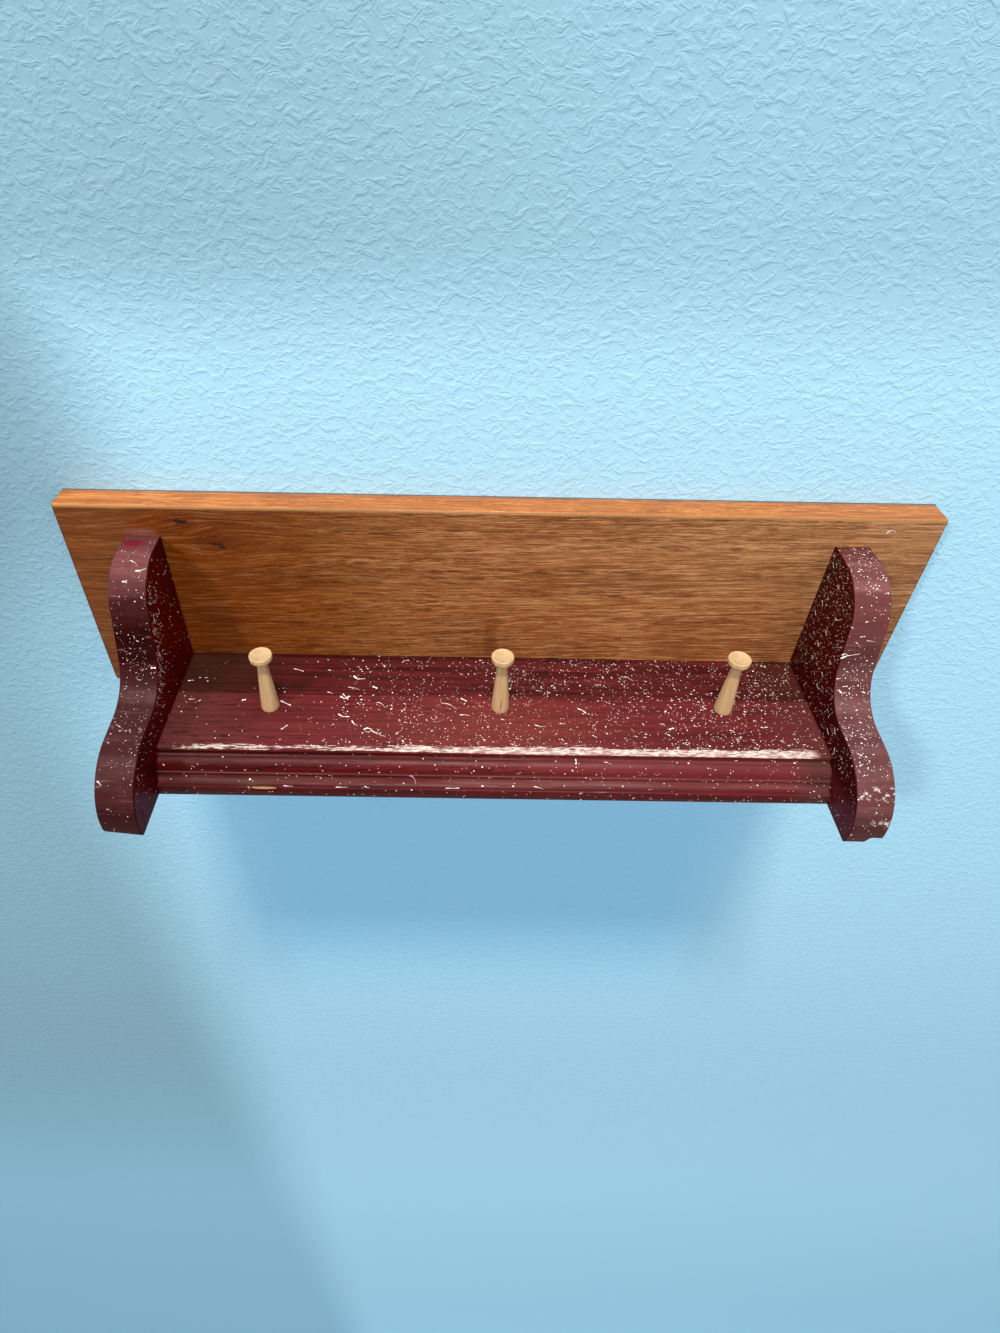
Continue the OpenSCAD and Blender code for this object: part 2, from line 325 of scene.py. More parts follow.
    # knots and the crack beside one of them
    front = t.map(y, -0.0188, -0.0194)
    ragged = t.noise(t.vec(t.mul(x, 380), 0.0, t.mul(z, 900)), 1.0, 3.0, 0.6)
    kn = t.blob(-0.2200, 0.0218, 0.0068, 0.0021, 0.55, -0.10)
    kn = t.m("MAXIMUM", kn, t.mul(t.blob(-0.1985, 0.0035, 0.0078, 0.0017, 0.6, -0.16),
                                  t.map(ragged, 0.32, 0.52)))
    kn = t.m("MAXIMUM", kn, t.mul(t.blob(-0.1950, 0.0012, 0.0042, 0.0017, 0.6, -0.35),
                                  t.map(ragged, 0.32, 0.52)))
    kn = t.m("MAXIMUM", kn, t.mul(t.blob(-0.2100, 0.0086, 0.0050, 0.0007, 0.7, 0.40), 0.8))
    kn = t.m("MAXIMUM", kn, t.mul(t.blob(-0.2000, 0.0102, 0.0070, 0.0006, 0.7, -0.02), 0.8))
    kn = t.m("MAXIMUM", kn, t.mul(t.blob(-0.1905, 0.0093, 0.0040, 0.0006, 0.7, -0.30), 0.7))
    halo = t.m("MAXIMUM", t.blob(-0.2010, 0.0050, 0.024, 0.0095, 0.95),
               t.blob(-0.2200, 0.0215, 0.016, 0.0060, 0.95))
    col = t.mix(t.mul(halo, front, 0.50), col, (0.42, 0.24, 0.15), "MULTIPLY")
    col = t.mix(t.mul(kn, front, 0.93), col, (0.030, 0.010, 0.006))
    # paint that strayed onto the wood over the left bracket
    smear = t.mul(t.blob(-0.2490, 0.0128, 0.0165, 0.0055, 0.9),
                  t.map(ragged, 0.25, 0.50))
    col = t.mix(t.mul(smear, front, 0.62), col, (0.30, 0.115, 0.115))
    smear = t.mul(t.blob(0.2450, 0.0135, 0.0130, 0.0022, 0.9),
                  t.map(ragged, 0.42, 0.60))
    col = t.mix(t.mul(smear, front, 0.30), col, (0.30, 0.12, 0.10))
    # edges: a painted highlight along the front arris, over a little wear; the top edge has its own,
    # more orange colour
    top = t.map(z, 0.0318, 0.0345)
    topc = t.ramp(t.add(t.mul(fine, 0.5), t.mul(bands, 0.5)),
                  [(0.36, (0.300, 0.078, 0.010)), (0.50, (0.530, 0.158, 0.024)),
                   (0.62, (0.740, 0.262, 0.050))])
    topc = t.mix(t.mul(pores, 0.6), topc, (0.42, 0.28, 0.18), "MULTIPLY")
    col = t.mix(t.mul(top, 0.92), col, topc)
    rub_and_highlight = t.mul(t.map(z, 0.0312, 0.0332), t.map(z, 0.0349, 0.0338), front)
    col = t.mix(t.mul(rub_and_highlight, 0.45), col, (0.86, 0.50, 0.22))
    end = t.map(t.m("ABSOLUTE", x), 0.3030, 0.3046)
    col = t.mix(t.mul(end, 0.72), col, (0.34, 0.26, 0.20), "MULTIPLY")
    # painted shadow of the middle peg, upright on the board behind it
    peg_shadow = t.mul(t.blob(-0.0035, -0.078, 0.0085, 0.034, 0.75), front)
    col = t.mix(t.mul(peg_shadow, 0.62), col, (0.55, 0.42, 0.20), "MULTIPLY")
    height = t.sub(t.mul(fine, 0.25), t.mul(pores, 1.0))
    height = t.sub(height, t.mul(kn, front, 1.6))
    nor = t.bump(height, 0.00018, 0.75)
    slow = t.noise(t.p, 55, 3.0, 0.6)
    rough = t.add(t.mul(pores, 0.22), t.map(slow, 0.3, 0.7, 0.30, 0.42))
    return t.set(Base_Color=col, Roughness=rough, Normal=nor, Coat_Weight=0.07,
                 Coat_Roughness=0.25, Specular_IOR_Level=0.34)


CREAM = (0.86, 0.80, 0.70)


def paint_material(kind):
    """kind: shelf, left, right or plug."""
    t = Tree("burgundy_" + kind)
    x, y, z = t.x, t.y, t.z
    out = t.sub(t.mul(y, -1.0), BOARD_T * MM)
    up = t.sub(z, SHELF_Z * MM)
    along_x = kind in ("shelf",)
    if along_x:
        g = t.vec(t.mul(x, 9), t.mul(y, 330), t.mul(z, 330))
        gp = t.vec(t.mul(x, 60), t.mul(y, 950), t.mul(z, 950))
        gb = t.vec(t.mul(x, 2.6), t.mul(y, 36), t.mul(z, 40))
    else:
        g = t.vec(t.mul(x, 330), t.mul(y, 26), t.mul(z, 9))
        gp = t.vec(t.mul(x, 950), t.mul(y, 160), t.mul(z, 60))
        gb = t.vec(t.mul(x, 46), t.mul(y, 12), t.mul(z, 5))
    grain = t.noise(g, 1.0, 4.0, 0.6)
    pore = t.noise(gp, 1.0, 2.0, 0.6)
    broad = t.noise(gb, 1.0, 3.0, 0.55)
    pores = t.map(pore, 0.56, 0.72)
    col = t.ramp(t.add(t.mul(grain, 0.75), t.mul(broad, 0.45), -0.10),
                 [(0.26, (0.050, 0.0042, 0.0052)), (0.50, (0.132, 0.0150, 0.0165)),
                  (0.74, (0.215, 0.0310, 0.0320))])
    spat = 0.0
    cream_amt = None
    if kind == "shelf":
        # a painted shadow darkens and browns the strip beside the back board, which shows the grain
        edge = t.noise(t.vec(t.mul(x, 30), 0.0, 0.0), 1.0, 2.0)
        shaded_strip = t.mul(t.map(t.add(out, t.mul(t.sub(edge, 0.5), 0.003)), 0.0450, 0.0425),
                      t.map(up, -0.002, -0.0005))
        dark = t.add(0.50, t.mul(t.map(grain, 0.60, 0.35), 0.40))
        col = t.mix(t.mul(shaded_strip, dark), col, (0.44, 0.36, 0.30), "MULTIPLY")
        west = t.map(x, -0.12, -0.20)
        col = t.mix(t.mul(west, t.map(shaded_strip, 0.0, 1.0, 0.45, 0.85)), col,
                    (0.52, 0.46, 0.38), "MULTIPLY")
        # the painted shadow strip darker still towards both brackets
        ends = t.m("MAXIMUM", t.map(x, -0.150, -0.215), t.map(x, 0.185, 0.225))
        col = t.mix(t.mul(ends, shaded_strip, 0.55), col, (0.044, 0.014, 0.007))
        # the open top greyer towards both ends: partly grime, partly a painted sheen
        grime_and_sheen = t.mul(ends, t.sub(1.0, shaded_strip), t.map(up, -0.010, -0.002))
        col = t.mix(t.mul(grime_and_sheen, 0.35), col, (0.115, 0.042, 0.036))
        # painted light: a brighter red pool on the front of the shelf top
        painted_light_pool = t.mul(t.blob(-0.010, 0.078, 0.150, 0.050, 0.9, 0.0, x, out),
                    t.sub(1.0, shaded_strip))
        col = t.mix(t.mul(painted_light_pool, 0.45), col, (0.250, 0.048, 0.036))
        # dark open grain
        dash = t.noise(t.vec(t.mul(x, 70), t.mul(y, 780), t.mul(z, 780)), 1.0, 2.0, 0.6)
        dash = t.mul(t.map(dash, 0.55, 0.64), t.map(broad, 0.40, 0.56, 0.25, 1.0))
        dash = t.mul(dash, t.map(x, -0.02, 0.10, 1.0, 0.55))
        col = t.mix(t.mul(dash, 0.80), col, (0.26, 0.20, 0.20), "MULTIPLY")
        col = t.mix(t.mul(pores, 0.45), col, (0.30, 0.22, 0.22), "MULTIPLY")
        # the edge worn to pale wood and filler, streaky along the grain
        s1 = t.noise(t.vec(t.mul(x, 26), t.mul(y, 520), t.mul(z, 520)), 1.0, 4.0, 0.65)
        s2 = t.noise(t.vec(t.mul(x, 190), t.mul(y, 900), t.mul(z, 900)), 1.0, 3.0, 0.6)
        s3 = t.noise(t.vec(t.mul(x, 7.0), 3.0, 0.0), 1.0, 2.0, 0.5)
        behind = t.sub(0.0975, out)
        near = t.map(behind, 0.0095, 0.0016, 0.0, 1.0)
        reach = t.mul(near, t.map(up, -0.0022, -0.0010))
        more = t.map(x, -0.15, 0.02, -0.105, 0.066)
        less = t.map(x, -0.224, -0.2315, 0.0, 0.5)
        level = t.add(t.mul(s1, 0.62), t.mul(s2, 0.30), t.mul(s3, 0.28),
                      t.mul(reach, 0.34), more, -0.06)
        level = t.sub(level, less)
        worn = t.mul(t.map(level, 0.745, 0.82), t.map(reach, 0.02, 0.20),
                     t.map(x, 0.227, 0.219))
        core = t.mul(t.map(behind, 0.0040, 0.0018), t.map(up, -0.0017, -0.0008),
                     t.map(t.add(t.mul(s1, 0.8), t.mul(s2, 0.45), t.mul(s3, 0.30), more),
                           0.745, 0.84),
                     t.map(x, -0.2315, -0.224), t.map(x, 0.228, 0.220))
        worn = t.m("MAXIMUM", worn, core)
        lip = t.map(up, -0.0024, -0.0034)
        col = t.mix(t.mul(lip, t.map(x, 0.08, -0.16, 0.30, 0.93)), col, (0.56, 0.06, 0.085),
                    "MULTIPLY")
        # painted shade in the quirk below the arris
        quirk = t.mul(lip, t.map(up, -0.0064, -0.0056))
        col = t.mix(t.mul(quirk, 0.75), col, (0.42, 0.22, 0.22), "MULTIPLY")
        last = t.map(up, -0.0197, -0.0205)
        col = t.mix(t.mul(last, 0.90), col, (0.90, 0.24, 0.27), "MULTIPLY")
        rose = t.mul(lip, t.map(x, -0.02, 0.10), t.map(x, 0.222, 0.209), t.sub(1.0, last))
        col = t.mix(t.mul(rose, 0.35), col, (0.235, 0.036, 0.042))
        # ridges further down the moulding, rubbed paler and with painted highlights
        r2 = t.noise(t.vec(t.mul(x, 11), t.mul(y, 60), t.mul(z, 60)), 1.0, 4.0, 0.6)
        ridge = 0.0
        for o, u, w in ((0.0986, -0.0057, 0.0008), (0.1079, -0.0136, 0.0008),
                        (0.1143, -0.0211, 0.0009)):
            du = t.sub(up, u)
            do = t.sub(out, o)
            d = t.m("SQRT", t.add(t.mul(du, du), t.mul(do, do)))
            ridge = t.add(ridge, t.map(d, w, w * 0.3))
        # rubbed paint and painted highlight along the ridges
        rub_and_highlight = t.mul(ridge, t.map(r2, 0.36, 0.62, 0.25, 1.0), t.map(up, -0.0206, -0.0198, 0.4, 1.0),
                    t.m("MAXIMUM", t.map(up, -0.0200, -0.0180), t.map(x, -0.06, 0.02)))
        col = t.mix(t.mul(rub_and_highlight, 0.34), col, (0.33, 0.125, 0.125))
        scuff = t.mul(ridge, t.map(r2, 0.60, 0.70), t.map(x, -0.01, 0.0),
                      t.map(x, 0.20, 0.17), t.map(up, -0.018, -0.019))
        # painted sheen: a paler band along the cove
        cove_sheen = t.mul(t.map(up, -0.0150, -0.0170), t.map(up, -0.0204, -0.0194),
                     t.map(x, -0.05, 0.0, 0.45, 1.0), t.map(x, 0.13, 0.06, 0.5, 1.0))
        cove_sheen = t.mul(cove_sheen, t.map(s1, 0.36, 0.62, 0.35, 1.0))
        col = t.mix(t.mul(cove_sheen, 0.55), col, (0.30, 0.135, 0.125))
        tail = t.mul(lip, t.map(t.add(x, t.mul(t.sub(s1, 0.5), 0.012)), 0.203, 0.224))
        col = t.mix(t.mul(tail, 0.60), col, (0.105, 0.038, 0.034))
        cream_amt = t.m("MAXIMUM", worn, t.mul(scuff, 0.75))
        white = t.mix(t.map(s2, 0.38, 0.62), (0.38, 0.18, 0.165), (0.78, 0.66, 0.58))
        # bare yellow wood where a sliver broke off the lower ridge
        bare = t.mul(t.blob(-0.1615, -0.0220, 0.0100, 0.0008, 0.30, 0.0, x, up),
                     t.map(out, 0.1120, 0.1128))
        tint = t.mul(t.blob(-0.1700, -0.0190, 0.018, 0.0040, 0.9, 0.0, x, up),
                     t.map(out, 0.1075, 0.1090))
        col = t.mix(t.mul(tint, 0.22), col, (0.12, 0.080, 0.040))
        dens = t.add(t.map(x, -0.16, 0.02, 0.10, 0.80), t.map(x, 0.02, 0.20, 0.0, 0.25))
        dens = t.mul(dens, t.map(up, -0.012, -0.001, 0.30, 1.0))
    else:
        sgn = -1.0 if kind == "left" else 1.0
        xi = (DX + sgn * SPAN / 2) * MM
        depth = t.m("ABSOLUTE", t.sub(x, xi))
        inner = t.map(depth, 0.0011, 0.0006)
        # saw and sanding lines across the sawn edge
        saw = t.noise(t.vec(t.mul(x, 18), t.mul(y, 520), t.mul(z, 520)), 1.0, 3.0, 0.6)
        sawb = t.noise(t.vec(t.mul(x, 6), t.mul(y, 95), t.mul(z, 95)), 1.0, 2.0, 0.6)
        pale = t.mix(t.map(sawb, 0.35, 0.65), (0.165, 0.056, 0.058), (0.258, 0.108, 0.104))
        col = t.mix(t.mul(t.sub(1.0, inner), 0.66), col, pale)
        # painted shade on the sawn edge: over most of the left bracket's edge below its head, deeper
        # in the hollow and at the foot; lighter on the right bracket
        if kind == "left":
            hollow = t.mul(t.map(up, 0.036, 0.048), t.map(up, 0.084, 0.068))
            foot = t.mul(t.map(up, 0.008, -0.006), 0.93)
            whole = 0.88
        else:
            hollow = t.mul(t.map(up, 0.040, 0.050), t.map(up, 0.074, 0.064), 0.25)
            foot = t.mul(t.map(up, 0.002, -0.008), 0.46)
            whole = 0.05
        whole = t.mul(whole, t.add(t.mul(t.map(up, 0.0960, 0.0885), 0.50),
                                   t.mul(t.map(up, 0.1060, 0.1000), 0.50)),
                      t.map(up, 0.024, 0.034, 0.91, 1.0))
        tone = t.m("MAXIMUM", whole, t.m("MAXIMUM", t.mul(hollow, 0.98), t.mul(foot, 0.98)))
        col = t.mix(t.mul(tone, t.sub(1.0, inner)), col, (0.18, 0.07, 0.07), "MULTIPLY")
        if kind == "left":
            col = t.mix(t.mul(hollow, t.sub(1.0, inner)), col, (0.72, 0.40, 0.40),
                        "MULTIPLY")
        line = t.mul(t.map(saw, 0.60, 0.72), t.sub(1.0, inner))
        col = t.mix(t.mul(line, 0.30), col, (0.42, 0.20, 0.20))
        # the inner face is painted darker than the sawn edge, partly its paint and partly painted
        # shade; a thin painted shade runs along the inner arris
        if kind == "left":
            col = t.mix(inner, col, (0.66, 0.015, 0.022), "MULTIPLY")
            rim = t.mul(t.map(depth, 0.00002, 0.00012), t.map(depth, 0.0013, 0.0009))
            col = t.mix(rim, col, (0.42, 0.62, 0.62), "MULTIPLY")
        else:
            col = t.mix(inner, col, (0.46, 0.022, 0.026), "MULTIPLY")
            # painted shade on the inner face: low down by the shelf, and near black below the shelf's
            # top; the lower sawn edge a little darker
            col = t.mix(t.mul(inner, t.map(up, 0.045, 0.015), t.map(up, -0.016, 0.004)),
                        col, (0.80, 0.70, 0.75), "MULTIPLY")
            col = t.mix(t.mul(inner, t.map(up, 0.002, -0.012)), col, (0.098, 0.0075, 0.010))
            lower = t.mul(t.map(up, 0.082, 0.062), t.sub(1.0, inner))
            col = t.mix(lower, col, (0.80, 0.86, 0.86), "MULTIPLY")
            rim = t.mul(t.map(depth, 0.00002, 0.00012), t.map(depth, 0.0013, 0.0009))
            col = t.mix(rim, col, (0.62, 0.85, 0.85), "MULTIPLY")
        if kind == "left":
            streak = 0.0
            for u0, o0, a0 in ((0.0262, 0.0915, 0.8), (0.0250, 0.0935, 0.5),
                               (0.0205, 0.1130, 0.5), (0.0095, 0.1395, 0.45)):
                d = t.m("SQRT", t.add(t.mul(t.sub(up, u0), t.sub(up, u0)),
                                      t.mul(t.sub(out, o0), t.sub(out, o0))))
                streak = t.add(streak, t.mul(t.map(d, 0.0010, 0.0003), a0))
            nx = t.noise(t.vec(t.mul(x, 330), t.mul(y, 240), t.mul(z, 240)), 1.0, 3.0, 0.7)
            cream_amt = t.mul(streak, t.map(nx, 0.44, 0.60), t.sub(1.0, inner), 0.8)
            red = t.mul(t.blob(-0.2530, 0.0085, 0.0110, 0.0060, 0.6, 0.0, x, out),
                        t.map(up, 0.100, 0.104))
            col = t.mix(t.mul(red, t.map(saw, 0.30, 0.5, 0.7, 1.0), 0.85), col, (0.240, 0.010, 0.026))
            rim = t.sub(t.map(up, 0.023, 0.078, 0.066, 0.0425, False), out)
            rim = t.mul(t.map(rim, 0.019, 0.004), t.map(up, 0.018, 0.030, 0.15, 1.0))
            dens = t.add(t.mul(rim, inner, 0.95),
                         t.mul(t.sub(1.0, inner), t.map(up, 0.09, 0.06, 0.10, 0.35)))
        else:
            d = t.m("SQRT", t.add(t.mul(t.sub(up, 0.0080), t.sub(up, 0.0080)),
                                  t.mul(t.sub(out, 0.1350), t.sub(out, 0.1350))))
            nx = t.noise(t.vec(t.mul(x, 260), t.mul(y, 300), t.mul(z, 300)), 1.0, 3.0, 0.7)
            cream_amt = t.mul(t.map(d, 0.0065, 0.0020), t.map(nx, 0.52, 0.64),
                              t.sub(1.0, inner), 0.75)
            d = t.m("SQRT", t.add(t.mul(t.sub(up, -0.0100), t.sub(up, -0.0100)),
                                  t.mul(t.sub(out, 0.1455), t.sub(out, 0.1455))))
            patch = t.mul(t.map(d, 0.0040, 0.0010), t.map(depth, 0.010, 0.018),
                          t.map(nx, 0.45, 0.60))
            cream_amt = t.m("MAXIMUM", cream_amt, t.mul(patch, 0.8))
            dens = t.add(t.mul(inner, 0.85),
                         t.mul(t.sub(1.0, inner), t.map(up, 0.070, 0.045, 0.25, 0.75)))
        white = (0.84, 0.74, 0.70)
        bare = None
        worn = None
    # the finest spatter; larger drops are real pieces
    d1, c1 = t.cells(t.p, 430.0)
    r1 = t.map(c1[0], 0.40, 1.0, 0.02, 0.17, False)
    on1 = t.m("LESS_THAN", c1[1], t.mul(dens, 0.55))
    mist = t.mul(t.map(t.sub(r1, d1), 0.0, 0.05), on1)
    d2, c2 = t.cells(t.vec(t.mul(x, 1.0), t.mul(y, 1.25), t.mul(z, 0.8)), 235.0)
    r2_ = t.map(c2[0], 0.50, 1.0, 0.03, 0.17, False)
    on2 = t.m("LESS_THAN", c2[1], t.mul(dens, 0.34))
    mist = t.m("MAXIMUM", mist, t.mul(t.map(t.sub(r2_, d2), 0.0, 0.04), on2))
    if kind == "plug":
        mist = t.mul(mist, 0.0)
    if cream_amt is not None:
        col = t.mix(cream_amt, col, white)
    col = t.mix(t.mul(mist, 0.85), col, (0.74, 0.60, 0.52))
    if bare is not None:
        col = t.mix(bare, col, (0.44, 0.25, 0.12))
    slow = t.noise(t.p, 38, 4.0, 0.6)
    rough = t.add(t.map(slow, 0.3, 0.7, 0.36, 0.50), t.mul(pores, 0.10))
    if worn is not None:
        rough = t.add(rough, t.mul(cream_amt, 0.25))
    h = t.add(t.mul(grain, 0.5), t.mul(pores, -0.8), t.mul(mist, 1.2))
    if cream_amt is not None:
        h = t.add(h, t.mul(cream_amt, -0.6))
    if kind in ("left", "right"):
        h = t.add(h, t.mul(saw, t.sub(1.0, inner), 1.2))
    nor = t.bump(h, 0.00012, 0.7)
    return t.set(Base_Color=col, Roughness=rough, Normal=nor,
                 Specular_IOR_Level={"shelf": 0.20, "left": 0.08}.get(kind, 0.09))


def birch_material(cx, out_mm, crack=False):
    t = Tree("birch_" + ("cracked" if crack else "plain"))
    x = t.sub(t.x, cx * MM)
    y = t.add(t.y, (BOARD_T + out_mm) * MM)
    z = t.z
    wob = t.noise(t.vec(t.mul(x, 60), t.mul(y, 60), t.mul(z, 22)), 1.0, 2.0)
    ring = t.noise(t.vec(t.add(t.mul(x, 420), t.mul(wob, 2.5)), t.mul(y, 300),
                         t.mul(z, 9)), 1.0, 3.0, 0.6)
    fleck = t.noise(t.vec(t.mul(x, 1500), t.mul(y, 1500), t.mul(z, 130)), 1.0, 2.0, 0.6)
    col = t.ramp(t.add(t.mul(ring, 0.75), t.mul(fleck, 0.25)),
                 [(0.30, (0.560, 0.335, 0.155)), (0.50, (0.680, 0.445, 0.225)),
                  (0.72, (0.770, 0.545, 0.310))])
    col = t.mix(t.mul(t.map(fleck, 0.60, 0.72), 0.40), col, (0.42, 0.24, 0.11))
    # painted shade at the foot of the peg, where it meets the shelf
    low = t.map(z, (SHELF_Z + 5) * MM, (SHELF_Z + 0.3) * MM)
    col = t.mix(t.mul(low, 0.35), col, (0.48, 0.26, 0.13))
    # painted shade under the head, round the neck
    neck = t.mul(t.map(z, (SHELF_Z + 42.6) * MM, (SHELF_Z + 43.7) * MM),
                 t.map(z, (SHELF_Z + 46.2) * MM, (SHELF_Z + 44.8) * MM))
    col = t.mix(t.mul(neck, 0.30), col, (0.42, 0.22, 0.10))
    # painted shade in the dished top, deeper to its left
    rad = t.m("SQRT", t.add(t.mul(x, x), t.mul(y, y)))
    dish = t.mul(t.map(rad, 0.0071, 0.0062), t.map(z, (SHELF_Z + 51.0) * MM - 0.0012,
                                                   (SHELF_Z + 51.0) * MM - 0.0008),
                 t.map(x, 0.0045, -0.0050, 0.16, 0.50))
    col = t.mix(dish, col, (0.50, 0.315, 0.150))
    h = t.mul(ring, 0.6)
    if crack:
        c = t.mul(t.map(t.m("ABSOLUTE", t.add(x, t.mul(t.sub(wob, 0.5), 0.0010))),
                        0.00042, 0.00012),
                  t.map(z, (SHELF_Z + 3.5) * MM, (SHELF_Z + 6.0) * MM),
                  t.map(z, (SHELF_Z + 15.5) * MM, (SHELF_Z + 11.0) * MM),
                  t.map(y, -0.001, -0.003))
        col = t.mix(t.mul(c, 0.90), col, (0.085, 0.040, 0.020))
        h = t.sub(h, t.mul(c, 3.0))
    nor = t.bump(h, 0.00012, 0.5)
    rough = t.map(fleck, 0.3, 0.7, 0.44, 0.58)
    return t.set(Base_Color=col, Roughness=rough, Normal=nor,
                 Specular_IOR_Level=0.4)


def steel_material(name, plate):
    t = Tree(name)
    n1 = t.noise(t.vec(t.mul(t.x, 2600 if plate else 900), t.mul(t.y, 900),
                       t.mul(t.z, 130 if plate else 900)), 1.0, 3.0, 0.6)
    n2 = t.noise(t.p, 120, 3.0, 0.6)
    col = t.ramp(n2, [(0.3, (0.42, 0.41, 0.38)), (0.7, (0.66, 0.65, 0.62))])
    rough = t.add(t.map(n1, 0.3, 0.7, 0.24, 0.42), 0.0)
    nor = t.bump(n1, 0.00003, 0.5)
    return t.set(Base_Color=col, Roughness=rough, Normal=nor, Metallic=1.0)


def drop_material():
    t = Tree("cream_drops")
    n = t.noise(t.p, 900, 2.0, 0.6)
    col = t.ramp(n, [(0.30, (0.88, 0.76, 0.68)), (0.50, (0.97, 0.91, 0.85)),
                     (0.75, (1.00, 0.97, 0.93))])
    # the drops glow slightly, a painted light that keeps them bright in shade
    return t.set(Base_Color=col, Roughness=0.42, Specular_IOR_Level=0.45,
                 Emission_Color=(0.95, 0.83, 0.74), Emission_Strength=0.20)


# ---------------------------------------------------------------- geometry
def link_mesh(name, verts, faces, mats, smooth=None, face_mat=None):
    me = bpy.data.meshes.new(name)
    me.from_pydata([tuple(v) for v in verts], [], faces)
    me.update()
    if smooth is not None:
        for poly, s in zip(me.polygons, smooth):
            poly.use_smooth = s
    ob = bpy.data.objects.new(name, me)
    scene.collection.objects.link(ob)
    for m in mats:
        me.materials.append(m)
    if face_mat is not None:
        for poly, k in zip(me.polygons, face_mat):
            poly.material_index = k
    return ob


def rounded(a, p, b, r, n):
    a, p, b = Vector(a), Vector(p), Vector(b)
    if r <= 0:
        return [tuple(p)]
    u, v = (a - p).normalized(), (b - p).normalized()
    h = math.acos(max(-1, min(1, u.dot(v)))) / 2
    q = p + (u + v).normalized() * (r / math.sin(h))
    s = p + u * (r / math.tan(h)) - q
    e = p + v * (r / math.tan(h)) - q
    a0 = math.atan2(s.y, s.x)
    turn = math.atan2(s.x * e.y - s.y * e.x, s.dot(e))
    return [(q.x + r * math.cos(a0 + turn * i / n),
             q.y + r * math.sin(a0 + turn * i / n)) for i in range(n + 1)]


def outline(points, radii, counts):
    out = []
    k = len(points)
    for i in range(k):
        out += rounded(points[i - 1], points[i], points[(i + 1) % k], radii[i],
                       counts[i])
    return out


def resample(pts, step):
    """Adds points on the long straight sides of a closed outline."""
    out = []
    k = len(pts)
    for i in range(k):
        a, b = Vector(pts[i]), Vector(pts[(i + 1) % k])
        n = max(1, int(round((b - a).length / step)))
        out += [tuple(a.lerp(b, j / n)) for j in range(n)]
    return out


def inset(pts, d):
    """Moves a closed outline inwards by d, with mitred corners."""
    k = len(pts)
    area2 = sum(pts[i][0] * pts[(i + 1) % k][1] - pts[(i + 1) % k][0] * pts[i][1]
                for i in range(k))
    side = 1 if area2 > 0 else -1
    out = []
    for i in range(k):
        a, p, b = Vector(pts[i - 1]), Vector(pts[i]), Vector(pts[(i + 1) % k])
        u, v = (p - a).normalized(), (b - p).normalized()
        n = (Vector((-u.y, u.x)) + Vector((-v.y, v.x))) * side
        n.normalize()
        c = max(0.35, n.dot(Vector((-v.y, v.x)) * side))
        out.append(tuple(p + n * (d / c)))
    return out


def loft(name, rings, mats, cap=True):
    """rings: lists of points with the same count; quads between, ends capped."""
    n = len(rings[0])
    verts = [v for r in rings for v in r]
    faces, smooth = [], []
    for j in range(len(rings) - 1):
        for i in range(n):
            k = (i + 1) % n
            faces.append((j * n + i, j * n + k, (j + 1) * n + k, (j + 1) * n + i))
            smooth.append(True)
    if cap:
        faces.append(tuple(range(n - 1, -1, -1)))
        faces.append(tuple((len(rings) - 1) * n + i for i in range(n)))
        smooth += [False, False]
    return link_mesh(name, verts, faces, mats, smooth)


def face_out(ob):
    """Turns every face outwards."""
    import bmesh
    bm = bmesh.new()
    bm.from_mesh(ob.data)
    bmesh.ops.recalc_face_normals(bm, faces=bm.faces)
    bm.to_mesh(ob.data)
    bm.free()


# brackets ------------------------------------------------------------------
BR = {
    "left": dict(rise=109.0, head=41.0, waist=66.0, foot=150.0, x0=-236.0, s=-1),
    "right": dict(rise=110.5, head=49.5, waist=64.5, foot=146.3, x0=234.0, s=1),
}


def bracket_ring(side, t):
    """Outline of a bracket at t from 0, its inner face, to 1, its outer face."""
    b = BR[side]
    if side == "left":
        w, hd = 3.0 * t, 2.4 * t
        toe = 3.4 + 5.4 * t
    else:
        w, hd = 2.4 * t, 0.4 * t
        e = max(0.0, min(1.0, (t - 0.55) / 0.14))
        toe = 2.2 + 6.2 * e * e * (3 - 2 * e) + 0.5 * math.sin(17 * t) * e
    pts = [(0, UNDER), (0, b["rise"] - 0.2 * t), (b["head"] + hd, b["rise"] - 0.2 * t),
           (b["waist"] + w, 23.5 + w), (b["foot"] - 0.1, 19.5 + 0.2 * w),
           (b["foot"] - 0.1, UNDER)]
    r = (0, 0, 34, 35, 43 - 0.5 * w, toe)
    return outline(pts, r, (1, 1, 22, 22, 26, 8))


def make_bracket(side, mat):
    b = BR[side]
    ease = 0.5
    steps = []
    for k in range(6):
        a = math.radians(90 * k / 5)
        steps.append((ease * (1 - math.sin(a)), ease * (1 - math.cos(a))))
    # (x from the inner face, inset), from the inner face's rim over the arris
    seq = [(s[1], s[0]) for s in steps]
    mids = [3.0 + 1.0 * k for k in range(20)]
    seq += [(m, 0.0) for m in mids if m < BRACKET_T - 2.0]
    seq += [(BRACKET_T - s[1], s[0]) for s in reversed(steps)]
    rings = []
    for xx, ins in seq:
        ring = inset(bracket_ring(side, xx / BRACKET_T), ins)
        pts = []
        for (o, u) in ring:
            # slight hand-sawn waves on the sawn edge
            if 0.3 < o and u > UNDER + 0.3:
                w = noise.noise(Vector((xx * 0.02, o * 0.075, u * 0.075 + 40 * b["s"])))
                w2 = noise.noise(Vector((xx * 0.12, o * 0.3, u * 0.3)))
                f = 0.22 * w + 0.06 * w2 - 0.22
                cx, cy = o - 35, u - 20
                ln = math.hypot(cx, cy) or 1
                o, u = max(o + f * cx / ln, 0), u + f * cy / ln
            pts.append(at(b["x0"] + b["s"] * xx, max(o, 0.0), max(u, UNDER)))
        rings.append(pts)
    ob = loft(side + "_bracket_sawn", rings, [mat])
    face_out(ob)
    return ob


